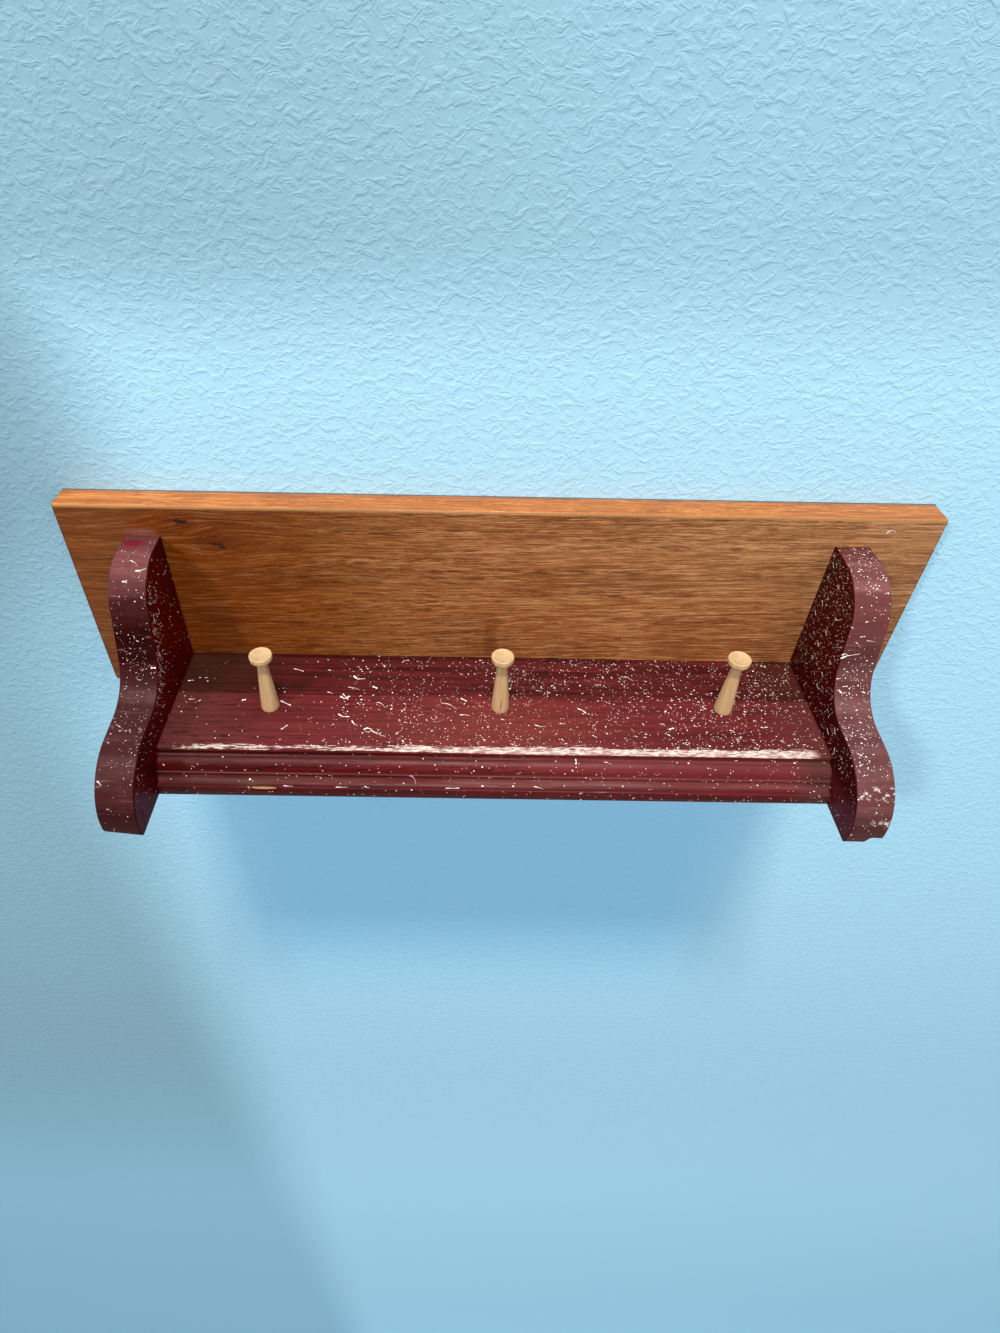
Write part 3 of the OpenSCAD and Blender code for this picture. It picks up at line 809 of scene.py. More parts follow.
# shelf ---------------------------------------------------------------------
def shelf_profile(x):
    """(out, up) points of the shelf's front at place x; the count is constant."""
    v = Vector((x * 0.021, 3.1, 0.0))
    wear = 1.9 + 0.9 * noise.noise(v) + 0.45 * noise.noise(v * 6)
    nick = noise.noise(Vector((x * 0.16, 9.0, 1.0)))
    wear += max(0.0, nick - 0.35) * 2.2
    d = 97.3
    pts = [(0.0, UNDER), (0.0, 0.0)]
    for k in range(1, 24):
        o = (d - wear - 0.2) * k / 24
        dip = 0.10 * noise.noise(Vector((x * 0.01, o * 0.05, 5.0))) - 0.10
        pts.append((o, dip))
    for k in range(9):
        a = math.radians(90 - 90 * k / 8)
        pts.append((d - wear + wear * math.cos(a), -wear + wear * math.sin(a) - 0.1))
    q = 5.6
    pts += [(d - 0.05, -q + 1.0), (d + 0.02, -q + 0.45), (d + 0.25, -q + 0.12),
            (d + 0.55, -q + 0.02), (d + 0.9, -q)]
    o1, r = d + 1.3, 7.8
    for k in range(15):
        a = math.radians(88 - 88 * k / 14)
        pts.append((o1 + r * math.cos(a), -q - r + r * math.sin(a)))
    z2 = -q - r
    o2 = o1 + r + 1.5
    pts += [(o1 + r + 0.15, z2 - 0.05), (o1 + r + 0.5, z2), (o2 - 0.45, z2),
            (o2 - 0.15, z2 - 0.12), (o2, z2 - 0.45)]
    z3, cr = z2 - 2.6, 5.0
    pts += [(o2, z3 + 0.6)]
    for k in range(13):
        a = math.radians(180 + 88 * k / 12)
        pts.append((o2 + cr + cr * math.cos(a), z3 + cr * math.sin(a)))
    z4 = z3 - cr
    o5 = o2 + cr + 1.5
    chip = 0.0
    e = (x + 161.5) / 10.8
    if abs(e) < 1:
        chip = 1.1 * (1 - e * e) ** 0.35 * (0.85 + 0.3 * noise.noise(Vector((x * 0.6, 0, 2))))
    pts += [(o5 - 0.55 - chip * 0.6, z4 - 0.02), (o5 - 0.18 - chip, z4 - 0.14 - chip * 0.25),
            (o5 - chip * 0.75, z4 - 0.45 - chip), (o5 + 0.05, z4 - 1.2 - chip * 0.7),
            (o5 + 0.1, z4 - 4.0), (o5 + 0.1, UNDER + 1.2), (o5 - 0.25, UNDER + 0.35),
            (o5 - 1.1, UNDER)]
    return pts


def make_shelf(mat):
    x0, x1 = DX - SPAN / 2, DX + SPAN / 2
    n = 392
    rings = []
    for i in range(n + 1):
        x = x0 + (x1 - x0) * i / n
        rings.append([at(x, o, u) for o, u in shelf_profile(x)])
    ob = loft("shelf_moulded", rings, [mat])
    face_out(ob)
    return ob


# pegs ----------------------------------------------------------------------
def make_peg(name, mat, lean):
    cx, out_mm = PEGS[name]
    f, n, r, h = 6.6, 3.6, 7.95, 53.0
    prof = [(0, -12.7), (4.1, -12.7), (4.7, -12.1), (4.7, 0.0), (f - 0.9, 0.0),
            (f - 0.5, 0.10), (f - 0.2, 0.34), (f - 0.03, 0.8), (f, 1.5), (f - 0.05, 2.5)]
    for k in range(1, 12):
        z = 2.5 + (h - 12.0 - 2.5) * k / 12
        e = (z - 2.5) / (h - 14.5)
        prof.append((f - 0.05 + (n + 0.1 - f + 0.05) * e + 0.10 * math.sin(math.pi * e), z))
    prof += [(n + 0.1, h - 12), (n + 0.02, h - 11.2), (n, h - 10.6), (n + 0.05, h - 10.0),
             (n + 0.16, h - 9.4), (n + 0.34, h - 8.8), (n + 0.62, h - 8.2),
             (n + 0.95, h - 7.75), (n + 1.3, h - 7.3), (n + 1.8, h - 6.85),
             (n + 2.5, h - 6.4), (r - 1.1, h - 6.0), (r - 0.55, h - 5.75),
             (r - 0.2, h - 5.4), (r - 0.03, h - 4.95), (r, h - 4.4), (r + 0.02, h - 3.4),
             (r, h - 2.4), (r - 0.03, h - 1.9), (r - 0.12, h - 1.62), (r - 0.28, h - 1.44),
             (r - 0.5, h - 1.34), (r - 0.75, h - 1.32), (r - 0.95, h - 1.38),
             (r - 1.2, h - 1.56), (r - 1.5, h - 1.72), (r - 2.2, h - 1.92),
             (r - 3.4, h - 2.12), (r - 5.0, h - 2.28), (r - 6.5, h - 2.36),
             (0, h - 2.38)]
    m = 72
    verts, faces = [], []
    seed = cx * 0.37
    for rr, z in prof:
        lx = lean[0] * max(0.0, z) / h
        ly = lean[1] * max(0.0, z) / h
        if rr == 0:
            verts.append(at(cx + lx, out_mm + ly, z))
            continue
        for i in range(m):
            a = 2 * math.pi * i / m
            w = 1 + 0.006 * noise.noise(Vector((math.cos(a) * 1.3, math.sin(a) * 1.3,
                                                z * 0.08 + seed))) - 0.004
            verts.append(at(cx + lx + rr * w * math.cos(a),
                            out_mm + ly + rr * w * math.sin(a), z))
    base = [0]
    idx = 1
    rows = []
    for rr, z in prof[1:-1]:
        rows.append(idx)
        idx += m
    last = idx
    for i in range(m):
        k = (i + 1) % m
        faces.append((0, rows[0] + k, rows[0] + i))
        faces.append((last, rows[-1] + i, rows[-1] + k))
    for a, b in zip(rows, rows[1:]):
        for i in range(m):
            k = (i + 1) % m
            faces.append((a + i, a + k, b + k, b + i))
    ob = link_mesh(name + "_turned", verts, faces, [mat], [True] * len(faces))
    face_out(ob)
    return ob


# back board ----------------------------------------------------------------
def make_board(mat):
    """A plank with rounded edges and corners, with the rear cut-outs."""
    w, h, top = 610.0, 165.0, 35.0
    x0, x1, z0, z1 = -w / 2, w / 2, top - h, top
    corner = outline([(x0, z0), (x0, z1), (x1, z1), (x1, z0)], (2.0, 1.6, 2.6, 2.2),
                     (8, 8, 10, 8))
    base = resample(corner, 9.0)
    r = 1.1
    seq = [(-BOARD_T + r * (1 - math.cos(math.radians(90 * k / 6))),
            r * (1 - math.sin(math.radians(90 * k / 6)))) for k in range(7)]
    seq += [(-BOARD_T + 5 + 3 * k, 0.0) for k in range(4)]
    rb = 1.2
    seq += [(-rb * math.sin(math.radians(90 * (1 - k / 5))) if k < 5 else 0.0,
             rb * (1 - math.cos(math.radians(90 * k / 5)))) for k in range(6)]
    rings = []
    for y, ins in seq:
        ring = inset(base, ins)
        pts = []
        for x, z in ring:
            q = 0.16 * noise.noise(Vector((x * 0.02, z * 0.02, 7.0 + y * 0.03))) - 0.16
            cx = max(-1, min(1, x / (w / 2)))
            ex = 1 if abs(abs(x) - w / 2) < 8 else 0
            ez = 1 if (z1 - z < 8 or z - z0 < 8) else 0
            pts.append(Vector(((x + (q * math.copysign(1, x) if ex else 0)) * MM, y * MM,
                               (z + (q * (1 if z > -40 else -1) if ez else 0)) * MM)))
        rings.append(pts)
    ob = loft("back_board_plank", rings, [mat])
    face_out(ob)
    cutters = []

    def cutter(name, verts, faces):
        c = link_mesh(name, verts, faces, [mat])
        face_out(c)
        cutters.append(c)

    def prism(name, ring, ya, yb):
        n = len(ring)
        verts = [Vector((x * MM, ya * MM, z * MM)) for x, z in ring]
        verts += [Vector((x * MM, yb * MM, z * MM)) for x, z in ring]
        faces = [tuple(range(n)), tuple(range(2 * n - 1, n - 1, -1))]
        faces += [(i, (i + 1) % n, n + (i + 1) % n, n + i) for i in range(n)]
        cutter(name, verts, faces)

    def slot_ring(cx, za, zb, r_):
        ring = [(cx + r_ * math.cos(math.radians(a)), zb + r_ * math.sin(math.radians(a)))
                for a in range(0, 181, 9)]
        ring += [(cx + r_ * math.cos(math.radians(a)), za + r_ * math.sin(math.radians(a)))
                 for a in range(180, 361, 9)]
        return ring

    def cone(name, cx, cz, prof):
        m = 32
        verts, faces = [Vector((cx * MM, prof[0][1] * MM, cz * MM))], []
        rows = []
        for rr, yy in prof:
            rows.append(len(verts))
            verts += [Vector(((cx + rr * math.cos(2 * math.pi * i / m)) * MM, yy * MM,
                              (cz + rr * math.sin(2 * math.pi * i / m)) * MM))
                      for i in range(m)]
        verts.append(Vector((cx * MM, prof[-1][1] * MM, cz * MM)))
        for i in range(m):
            k = (i + 1) % m
            faces.append((0, rows[0] + k, rows[0] + i))
            faces.append((len(verts) - 1, rows[-1] + i, rows[-1] + k))
            for a, b in zip(rows, rows[1:]):
                faces.append((a + i, a + k, b + k, b + i))
        cutter(name, verts, faces)

    for s in (-1, 1):
        hx = s * 203.2
        prism("cut_plate", slot_ring(hx, 3.5 - 15, 3.5 + 15, 8.3), 1.0, -2.0)
        prism("cut_pocket", slot_ring(hx, 0.0, 9.0, 6.5), 1.0, -11.0)
    places = [(DX + s * (SPAN + BRACKET_T) / 2, SHELF_Z + u) for s in (-1, 1)
              for u in (10, 84)]
    places += [(k * SPAN * 0.34, SHELF_Z - 15.25) for k in (-1, 0, 1)]
    for cx, cz in places:
        cone("cut_screw", cx, cz, [(4.28, 0.8), (4.28, -0.4), (2.2, -2.5), (2.2, -19.0),
                                   (2.2, -22.0)])
    for c in cutters:
        mod = ob.modifiers.new("cut", "BOOLEAN")
        mod.operation = "DIFFERENCE"
        mod.solver = "EXACT"
        mod.object = c
    bpy.context.view_layer.update()
    done = bpy.data.meshes.new_from_object(
        ob.evaluated_get(bpy.context.evaluated_depsgraph_get()))
    ob.modifiers.clear()
    ob.data = done
    for c in cutters:
        bpy.data.objects.remove(c, do_unlink=True)
    # broad flat faces are shaded flat, the rounded rims smooth
    for poly in ob.data.polygons:
        poly.use_smooth = poly.area < 4e-4 and abs(poly.normal.y) < 0.999
    return ob


# paint drops and strokes -----------------------------------------------------
class Drops:
    """Thin raised drops of paint laid on a surface."""

    def __init__(self):
        self.v, self.f = [], []

    def add(self, p, n, t, a, b, h, m=9, bend=0.0, tail=0.0):
        """p in metres; n normal; t long direction; a, b half sizes in mm."""
        n = n.normalized()
        t = (t - n * t.dot(n)).normalized()
        s = n.cross(t)
        k = len(self.v)
        for i in range(m):
            g = 2 * math.pi * i / m
            u = a * math.cos(g) * (1 + 0.16 * (rng.random() - 0.5))
            w = b * math.sin(g) * (1 + 0.16 * (rng.random() - 0.5))
            w *= 1 - tail * 0.5 * (u / a + 1)
            w += bend * (u / a) ** 2 * a
            self.v.append(p + (t * u + s * w) * MM - n * 0.00002)
        for i in range(m):
            g = 2 * math.pi * i / m
            u = 0.62 * a * math.cos(g)
            w = 0.62 * b * math.sin(g) * (1 - tail * 0.5 * (u / a + 1))
            w += bend * (u / a) ** 2 * a
            self.v.append(p + (t * u + s * w) * MM + n * h * MM)
        for i in range(m):
            j = (i + 1) % m
            self.f.append((k + i, k + j, k + m + j, k + m + i))
        self.f.append(tuple(k + m + i for i in range(m)))

    def ribbon(self, pts, nrm, width, h=0.12):
        """A stroke that follows a surface, thick and thin along its length."""
        k = len(self.v)
        c = len(pts)
        ph = rng.uniform(0, 6)
        for i, p in enumerate(pts):
            n = nrm[i].normalized()
            d = (pts[min(c - 1, i + 1)] - pts[max(0, i - 1)])
            d = (d - n * d.dot(n)).normalized()
            s = n.cross(d)
            e = i / (c - 1)
            if ph < 4.0:
                w = width * (0.30 + 1.0 * math.exp(-((e - 0.16) / 0.20) ** 2)
                             + 0.30 * (1 - e))
            else:
                w = width * (0.50 + 0.75 * math.exp(-((e - 0.12) / 0.14) ** 2)
                             + 0.65 * math.exp(-((e - 0.86) / 0.14) ** 2))
            if i == 0 or i == c - 1:
                w *= 0.45
            w *= 0.95 + 0.12 * math.sin(ph + e * 9.0) + 0.22 * (rng.random() - 0.5)
            off = s * (0.10 * width * math.sin(ph * 2 + e * 5.0)) * MM
            self.v += [p + off - s * w * 0.5 * MM - n * 0.00002, p + off + n * h * MM,
                       p + off + s * w * 0.5 * MM - n * 0.00002]
        for i in range(c - 1):
            a = k + 3 * i
            self.f += [(a, a + 1, a + 4, a + 3), (a + 1, a + 2, a + 5, a + 4)]

    def make(self, name, mat):
        return link_mesh(name, self.v, self.f, [mat], [True] * len(self.f))


def spatter_size(k=1.0):
    """Half length and half width in mm: mostly tiny, a few large."""
    q = rng.random() * k
    if q < 0.70:
        a = rng.uniform(0.18, 0.36)
        return a, a * rng.uniform(0.70, 1.0)
    if q < 0.94:
        a = rng.uniform(0.32, 0.62)
        return a, a * rng.uniform(0.40, 0.95)
    if q < 0.988:
        a = rng.uniform(0.7, 1.5)
        return a, rng.uniform(0.20, 0.34)
    return rng.uniform(0.65, 1.0), rng.uniform(0.40, 0.65)


def shelf_drops(dr):
    up = Vector((0, 0, 1))
    count = 0
    while count < 2500:
        x = rng.uniform(-234, 232)
        o = rng.uniform(1.0, 96.0)
        d = 0.05 + 0.60 * max(0, min(1, (x + 140) / 70))
        d += 0.10 * max(0, min(1, (x - 60) / 100))
        clump = noise.noise(Vector((x * 0.022, o * 0.030, 4.0)))
        d *= 0.75 + 0.9 * max(-0.5, clump)
        if x < -110 and o < 44:
            d *= 0.5
        if rng.random() > d:
            continue
        count += 1
        a, b = spatter_size()
        ang = rng.gauss(-0.25, 0.55)
        t = Vector((math.cos(ang), math.sin(ang), 0))
        bend = rng.uniform(-0.5, 0.5) if a > 0.8 and b < 0.5 else 0
        dr.add(at(x, o, -0.1 + 0.0), up, t, a, b, rng.uniform(0.05, 0.12), 8, bend=bend)
    # on the moulding, thicker towards the right
    count = 0
    bpy.context.view_layer.update()
    while count < 300:
        x = rng.uniform(-233, 231)
        if rng.random() > 0.35 + 0.4 * max(0, min(1, (x + 60) / 160)):
            continue
        u = rng.uniform(-29.0, -4.0)
        ok, loc, nrm, _ = shelf.ray_cast(at(x, 130, u), Vector((0, 1, 0)), distance=0.06)
        if not ok:
            continue
        count += 1
        a, b = spatter_size()
        ang = rng.gauss(0.0, 0.6)
        dr.add(loc, nrm, Vector((math.cos(ang), 0, math.sin(ang))), a, min(a, b),
               rng.uniform(0.05, 0.10), 8)


# paint marks that stand out, as (piece, points (x, out, up) in mm, width in mm)
MARKS = (
    ("left", ((-240.6, 61.7, 41.6), (-237.1, 61.3, 41.4)), 1.5),
    ("shelf", ((-232, 31.3, -0.1), (-227.6, 30.7, -0.1)), 1.0),
    ("shelf", ((-224.6, 27.9, -0.1), (-223, 28, -0.1)), 0.7),
    ("shelf", ((-220, 27.8, -0.1), (-217.7, 27.9, -0.1)), 0.7),
    ("shelf", ((-217.8, 31.5, -0.1), (-216.8, 31.5, -0.1)), 0.6),
    ("shelf", ((-226.1, 50.6, -0.1), (-221.8, 50.5, -0.1)), 0.8),
    ("shelf", ((-187.2, 50.8, -0.1), (-184.1, 50.2, -0.1)), 1.7),
    ("shelf", ((-228.5, 63.2, -0.1), (-227.7, 63.2, -0.1)), 0.9),
    ("shelf", ((-197.9, 88.1, -0.1), (-197, 88.1, -0.1)), 0.8),
    ("shelf", ((-188.9, 85.3, -0.1), (-188.2, 85.3, -0.1)), 0.7),
    ("shelf", ((-158.6, 50.8, -0.2), (-154.9, 52.7, -0.2), (-150, 55.5, -0.1)), 1.0),
    ("shelf", ((-157.5, 41.7, -0.1), (-156.7, 41.7, -0.1)), 1.1),
    ("shelf", ((-153.1, 79, -0.1), (-149.1, 74.8, -0.1)), 0.8),
    ("shelf", ((-154.7, 16.4, -0.1), (-150.4, 17.4, -0.1), (-146.4, 19.3, -0.1)), 0.7),
    ("shelf", ((-127.7, 17.1, -0.1), (-125.4, 17.8, -0.1)), 1.2),
    ("shelf", ((-107.7, 23.2, -0.1), (-104, 26.7, -0.1), (-98.3, 26.2, -0.1)), 1.3),
    ("shelf", ((-110.6, 35.5, -0.1), (-105.2, 36.4, -0.1), (-101.2, 38.5, -0.1)), 0.4),
    ("shelf", ((-92.1, 34.4, -0.1), (-88.3, 36.4, -0.1)), 1.7),
    ("shelf", ((-71.7, 7.5, -0.1), (-69.5, 5.2, -0.1), (-66, 4.8, -0.1)), 0.5),
    ("shelf", ((-90.5, 0.8, -0), (-89.4, 0.8, -0)), 0.8),
    ("shelf", ((-11.3, 3.4, -0.1), (-9.9, 3.6, -0.1)), 1.2),
    ("shelf", ((-125.4, 40.8, -0.1), (-120.7, 42.7, -0.1)), 0.5),
    ("shelf", ((-115, 45, -0.1), (-112.1, 47.5, -0.1), (-107.9, 45.2, -0.1)), 1.3),
    ("shelf", ((-113.5, 42.4, -0.1), (-109, 48.5, -0.2)), 0.9),
    ("shelf", ((-102, 51.3, -0.1), (-99, 54.4, -0.1)), 0.5),
    ("shelf", ((-114.5, 63.1, -0.1), (-110.6, 65.7, -0.1), (-105.9, 65.8, -0.1)), 1.2),
    ("shelf", ((-103.8, 69.5, -0.1), (-101.9, 72.9, -0.1), (-99.1, 74.4, -0.1)), 1.0),
    ("shelf", ((-94.6, 78, -0.1), (-92.2, 76.3, -0.1), (-88.6, 77.4, -0.1), (-90.4, 80.4,
      -0.1), (-93.7, 79.4, -0.1)), 0.9),
    ("shelf", ((-88.9, 78.8, -0.1), (-83.9, 82, -0.1), (-78.3, 84.1, -0.1)), 0.6),
    ("shelf", ((-87.1, 50.5, -0.1), (-84.3, 51.6, -0.1), (-80.5, 56.5, -0.1)), 0.5),
    ("shelf", ((-68.8, 59.3, -0.1), (-67.9, 59.3, -0.1)), 1.1),
    ("shelf", ((-70, 67.8, -0.1), (-69.2, 68.7, -0.1)), 1.1),
    ("shelf", ((-66.3, 87.2, -0.1), (-64.7, 90.5, -0.1)), 0.9),
    ("shelf", ((-46.6, 78.4, -0.1), (-44.8, 77.9, -0.1)), 0.9),
    ("shelf", ((-37, 50.6, -0.1), (-33.4, 52.1, -0.1), (-28.1, 56.4, -0.1)), 0.5),
    ("shelf", ((-25.5, 45.4, -0.1), (-23.1, 46.7, -0.1), (-21.1, 48.5, -0.1)), 1.4),
    ("shelf", ((-26.3, 62.4, -0.1), (-22.3, 61.9, -0.1), (-18.5, 62.9, -0.1)), 0.6),
    ("shelf", ((4, 65.7, -0.1), (6.6, 66.6, -0.1)), 0.9),
    ("shelf", ((-6.1, 73.6, -0.1), (-5.3, 73.6, -0.1)), 1.1),
    ("shelf", ((-190.8, 100.1, -5.8), (-190.1, 100.1, -5.8)), 0.9),
    ("shelf", ((-172.3, 108.9, -19), (-171.1, 108.9, -19)), 1.5),
    ("shelf", ((-51.5, 99.2, -5.6), (-50.8, 99.2, -5.6)), 0.9),
    ("shelf", ((-67.8, 104.5, -8.3), (-67.1, 104.5, -8.4)), 0.7),
    ("shelf", ((-60.4, 107.9, -13.8), (-58.7, 107.9, -14), (-57, 108, -17.1), (-56.3,
      110, -20.1)), 0.5),
    ("shelf", ((-16.1, 105.7, -10.2), (-15.4, 105.7, -10.2)), 0.9),
    ("shelf", ((-10.4, 104.2, -8), (-9.8, 104.2, -8)), 0.8),
    ("shelf", ((-77.1, 114.5, -22.3), (-76.4, 114.5, -22.3)), 0.6),
    ("shelf", ((-148.2, 112.5, -21), (-141.4, 113, -21)), 0.5),
    ("shelf", ((-111.7, 113, -21), (-103.4, 112.9, -21)), 0.5),
    ("shelf", ((-91.9, 112.1, -20.9), (-88.5, 113, -21)), 0.7),
    ("shelf", ((-35.5, 112.5, -21), (-25.5, 112.3, -21)), 0.6),
    ("shelf", ((64.7, 30, -0.1), (65.7, 30.1, -0.1)), 1.3),
    ("shelf", ((94.8, 24.3, -0.1), (96.4, 25.3, -0.1)), 0.9),
    ("shelf", ((100.2, 19.3, -0.1), (103.2, 20.1, -0.1), (106.1, 23.2, -0.1)), 0.5),
    ("shelf", ((76.3, 29.2, -0.1), (81.1, 28.5, -0.1)), 0.4),
    ("shelf", ((55, 3.9, -0.1), (55.7, 3.9, -0.1)), 0.8),
    ("shelf", ((79.7, 6.8, -0.1), (80.5, 6.8, -0.1)), 0.8),
    ("shelf", ((60.8, 53.9, -0), (63.8, 55.7, -0), (66.5, 58.7, -0)), 1.1),
    ("shelf", ((23.3, 71.6, -0.1), (24.1, 71.6, -0.1)), 0.9),
    ("shelf", ((28.1, 71, -0), (31.7, 72.4, -0), (36, 72.5, -0)), 0.6),
    ("shelf", ((45.9, 69.2, -0), (50.3, 69.6, -0)), 0.6),
    ("shelf", ((78.7, 71.6, -0.1), (79.6, 71.4, -0.1)), 1.1),
    ("shelf", ((78.7, 78.1, -0.1), (79.6, 78.1, -0.1)), 1.1),
    ("shelf", ((46.3, 83.8, -0.1), (47.8, 86, -0.1)), 0.7),
    ("shelf", ((68.4, 79.9, -0.1), (71.6, 82.2, -0.1)), 0.6),
    ("shelf", ((124.6, 73.2, -0.1), (128.4, 71.9, -0.1)), 1.6),
    ("shelf", ((143.1, 69, -0.1), (145.5, 70.1, -0.1)), 0.8),
    ("shelf", ((137.3, 74.2, -0.1), (138, 74.2, -0.1)), 0.7),
    ("shelf", ((191.7, 69.5, -0.1), (194, 70.3, -0.1), (197, 69.4, -0.1)), 0.8),
    ("shelf", ((188.1, 68.5, -0.1), (188.7, 68.5, -0.1)), 0.8),
    ("shelf", ((228.2, 52.6, -0.1), (229.1, 55.1, -0.1)), 0.8),
    ("shelf", ((200.2, 78.3, -0.1), (201, 78.3, -0.1)), 0.9),
    ("shelf", ((131.5, 86.6, -0.2), (135.2, 85.3, -0.2)), 0.5),
    ("shelf", ((137.3, 61.8, -0.2), (138, 61.8, -0.2)), 0.7),
    ("shelf", ((55.4, 97.5, -5.4), (55.4, 101.7, -6.3)), 1.1),
    ("shelf", ((133.7, 99.6, -5.7), (134.7, 99.6, -5.7)), 1.2),
    ("shelf", ((125.9, 99.3, -5.6), (126.6, 99.3, -5.6)), 0.8),
    ("shelf", ((208.7, 97.6, -5.5), (209.5, 98.2, -5.6)), 1.5),
    ("shelf", ((75.3, 99.7, -5.7), (77.8, 100.1, -5.8), (80.2, 101.4, -6.1)), 0.5),
    ("shelf", ((47.4, 106.1, -11.5), (48, 106.1, -11.4)), 0.8),
    ("shelf", ((-10.2, 103.9, -7.7), (-9.5, 103.9, -7.7)), 0.9),
    ("shelf", ((11.4, 110.5, -20.4), (12.6, 110.3, -20.3)), 1.2),
    ("shelf", ((88.4, 109.6, -19.7), (89.2, 109.6, -19.7)), 0.9),
    ("shelf", ((26.3, 110.3, -20.3), (33.1, 111.9, -20.9)), 0.5),
    ("right", ((234, 108.3, -17.5), (234, 110.5, -17.6)), 0.7),
    ("right", ((234.3, 57.5, 60.3), (236.3, 57.8, 62.2), (240, 58.3, 60.5)), 0.8),
    ("right", ((234.4, 58.1, 58), (238.7, 58.2, 60.7), (246.2, 58.3, 62.7)), 1.0),
    ("right", ((242.7, 55.8, 75.5), (246, 55.8, 76.3)), 0.8),
    ("right", ((247.8, 56.5, 73.1), (254, 56.9, 72.6)), 0.4),
    ("right", ((243.2, 53.4, 86.8), (245.7, 53.4, 87.1)), 0.9),
    ("right", ((234.6, 53.9, 83), (236.6, 54.4, 81.9)), 0.9),
    ("right", ((234, 34.6, 73.5), (234, 38.5, 75.5), (234, 41.8, 79.5)), 0.6),
    ("right", ((237.9, 66.7, 35.5), (239.9, 68.2, 34), (242.8, 67.8, 35)), 0.8),
    ("right", ((235.2, 62.5, 42.3), (238.6, 62.3, 43.4)), 0.6),
    ("right", ((243.9, 103.3, 22.2), (244.8, 103.3, 22.2)), 1.2),
    ("right", ((235.4, 100, 21.8), (236.2, 100.1, 21.9)), 0.9),
    ("right", ((234, 118.2, 16.2), (234.2, 119.1, 17.4)), 1.0),
    ("right", ((234, 113.7, 18.9), (234.4, 114.2, 19.5)), 0.8),
    ("right", ((234, 85.4, 17.5), (234, 88.6, 15.1)), 0.7),
    ("right", ((234, 78.1, 9.2), (234, 82.6, 7.4)), 0.5),
    ("right", ((234, 94.7, 7.5), (234, 97, 3.2)), 0.6),
    ("board", ((265.9, 0, 121.9), (267.5, 0, 124.4), (271.3, 0, 124.5), (272.4, -0,
      121.9)), 0.6),
    ("left", ((-249, 26.4, 107.1), (-244.3, 28.6, 106.2)), 0.6),
    ("left", ((-244.4, 33.5, 103.7), (-240.7, 33, 104), (-237.5, 31.6, 104.7)), 0.9),
    ("left", ((-252.1, 39.4, 99.5), (-248.7, 40.1, 98.7)), 1.2),
    ("left", ((-240.1, 45.2, 91.7), (-239.1, 46, 90.2)), 1.1),
    ("left", ((-244.5, 46.9, 88.7), (-243.8, 46.9, 88.6)), 0.9),
    ("left", ((-247.4, 55.7, 61.7), (-245.7, 55.8, 60.8)), 0.9),
    ("left", ((-255.2, 99.5, 23.5), (-253.1, 100.2, 23.3)), 0.8),
    ("left", ((-259.4, 136.3, 11.6), (-256.5, 138.2, 9.4)), 0.8),
    ("right", ((234, 5.2, 101), (234, 8.6, 98.4)), 0.7),
    ("right", ((234, 5.9, 89.4), (234, 8.3, 87.6)), 0.6),
    ("right", ((234, 10.3, 71.1), (234, 14, 68.5)), 0.6),
    ("right", ((234, 6.7, 58.8), (234, 10.2, 56.9)), 0.6),
    ("right", ((234, 21.9, 93.5), (234, 24, 91.7)), 0.6),
    ("right", ((234, 29.7, 59.2), (234, 33.1, 56.5)), 0.7),
    ("right", ((234, 26.3, 44.7), (234, 29.1, 42.4)), 0.7),
    ("right", ((234, 25.6, 31.3), (234, 28.6, 30)), 0.8),
    ("right", ((234, 48.6, 47.6), (234, 51.2, 45.2)), 0.6),
    ("right", ((234, 45.6, 33), (234, 48.6, 30.9)), 0.7),
    ("right", ((234, 45.5, 21.8), (234, 48.4, 19.5)), 0.6),
)


def named_marks(dr, surfaces):
    for where, pts, width in MARKS:
        ob = surfaces[where]
        run = []
        for i in range(len(pts) - 1):
            a, b = at(*pts[i]), at(*pts[i + 1])
            n = max(2, int((b - a).length / 0.0006))
            run += [a.lerp(b, k / n) for k in range(n)]
        run.append(at(*pts[-1]))
        hits = [ob.closest_point_on_mesh(q) for q in run]
        length = (run[-1] - run[0]).length
        mid = hits[len(hits) // 2]
        if len(pts) == 2 and length < 0.0018:
            way = (run[-1] - run[0]) if length > 1e-5 else Vector((1, 0, 0))
            dr.add(mid[1], mid[2], way, max(length * 500, width * 0.55), width * 0.52,
                   0.14, 12)
            continue
        dr.ribbon([h[1] for h in hits], [h[2] for h in hits], width)



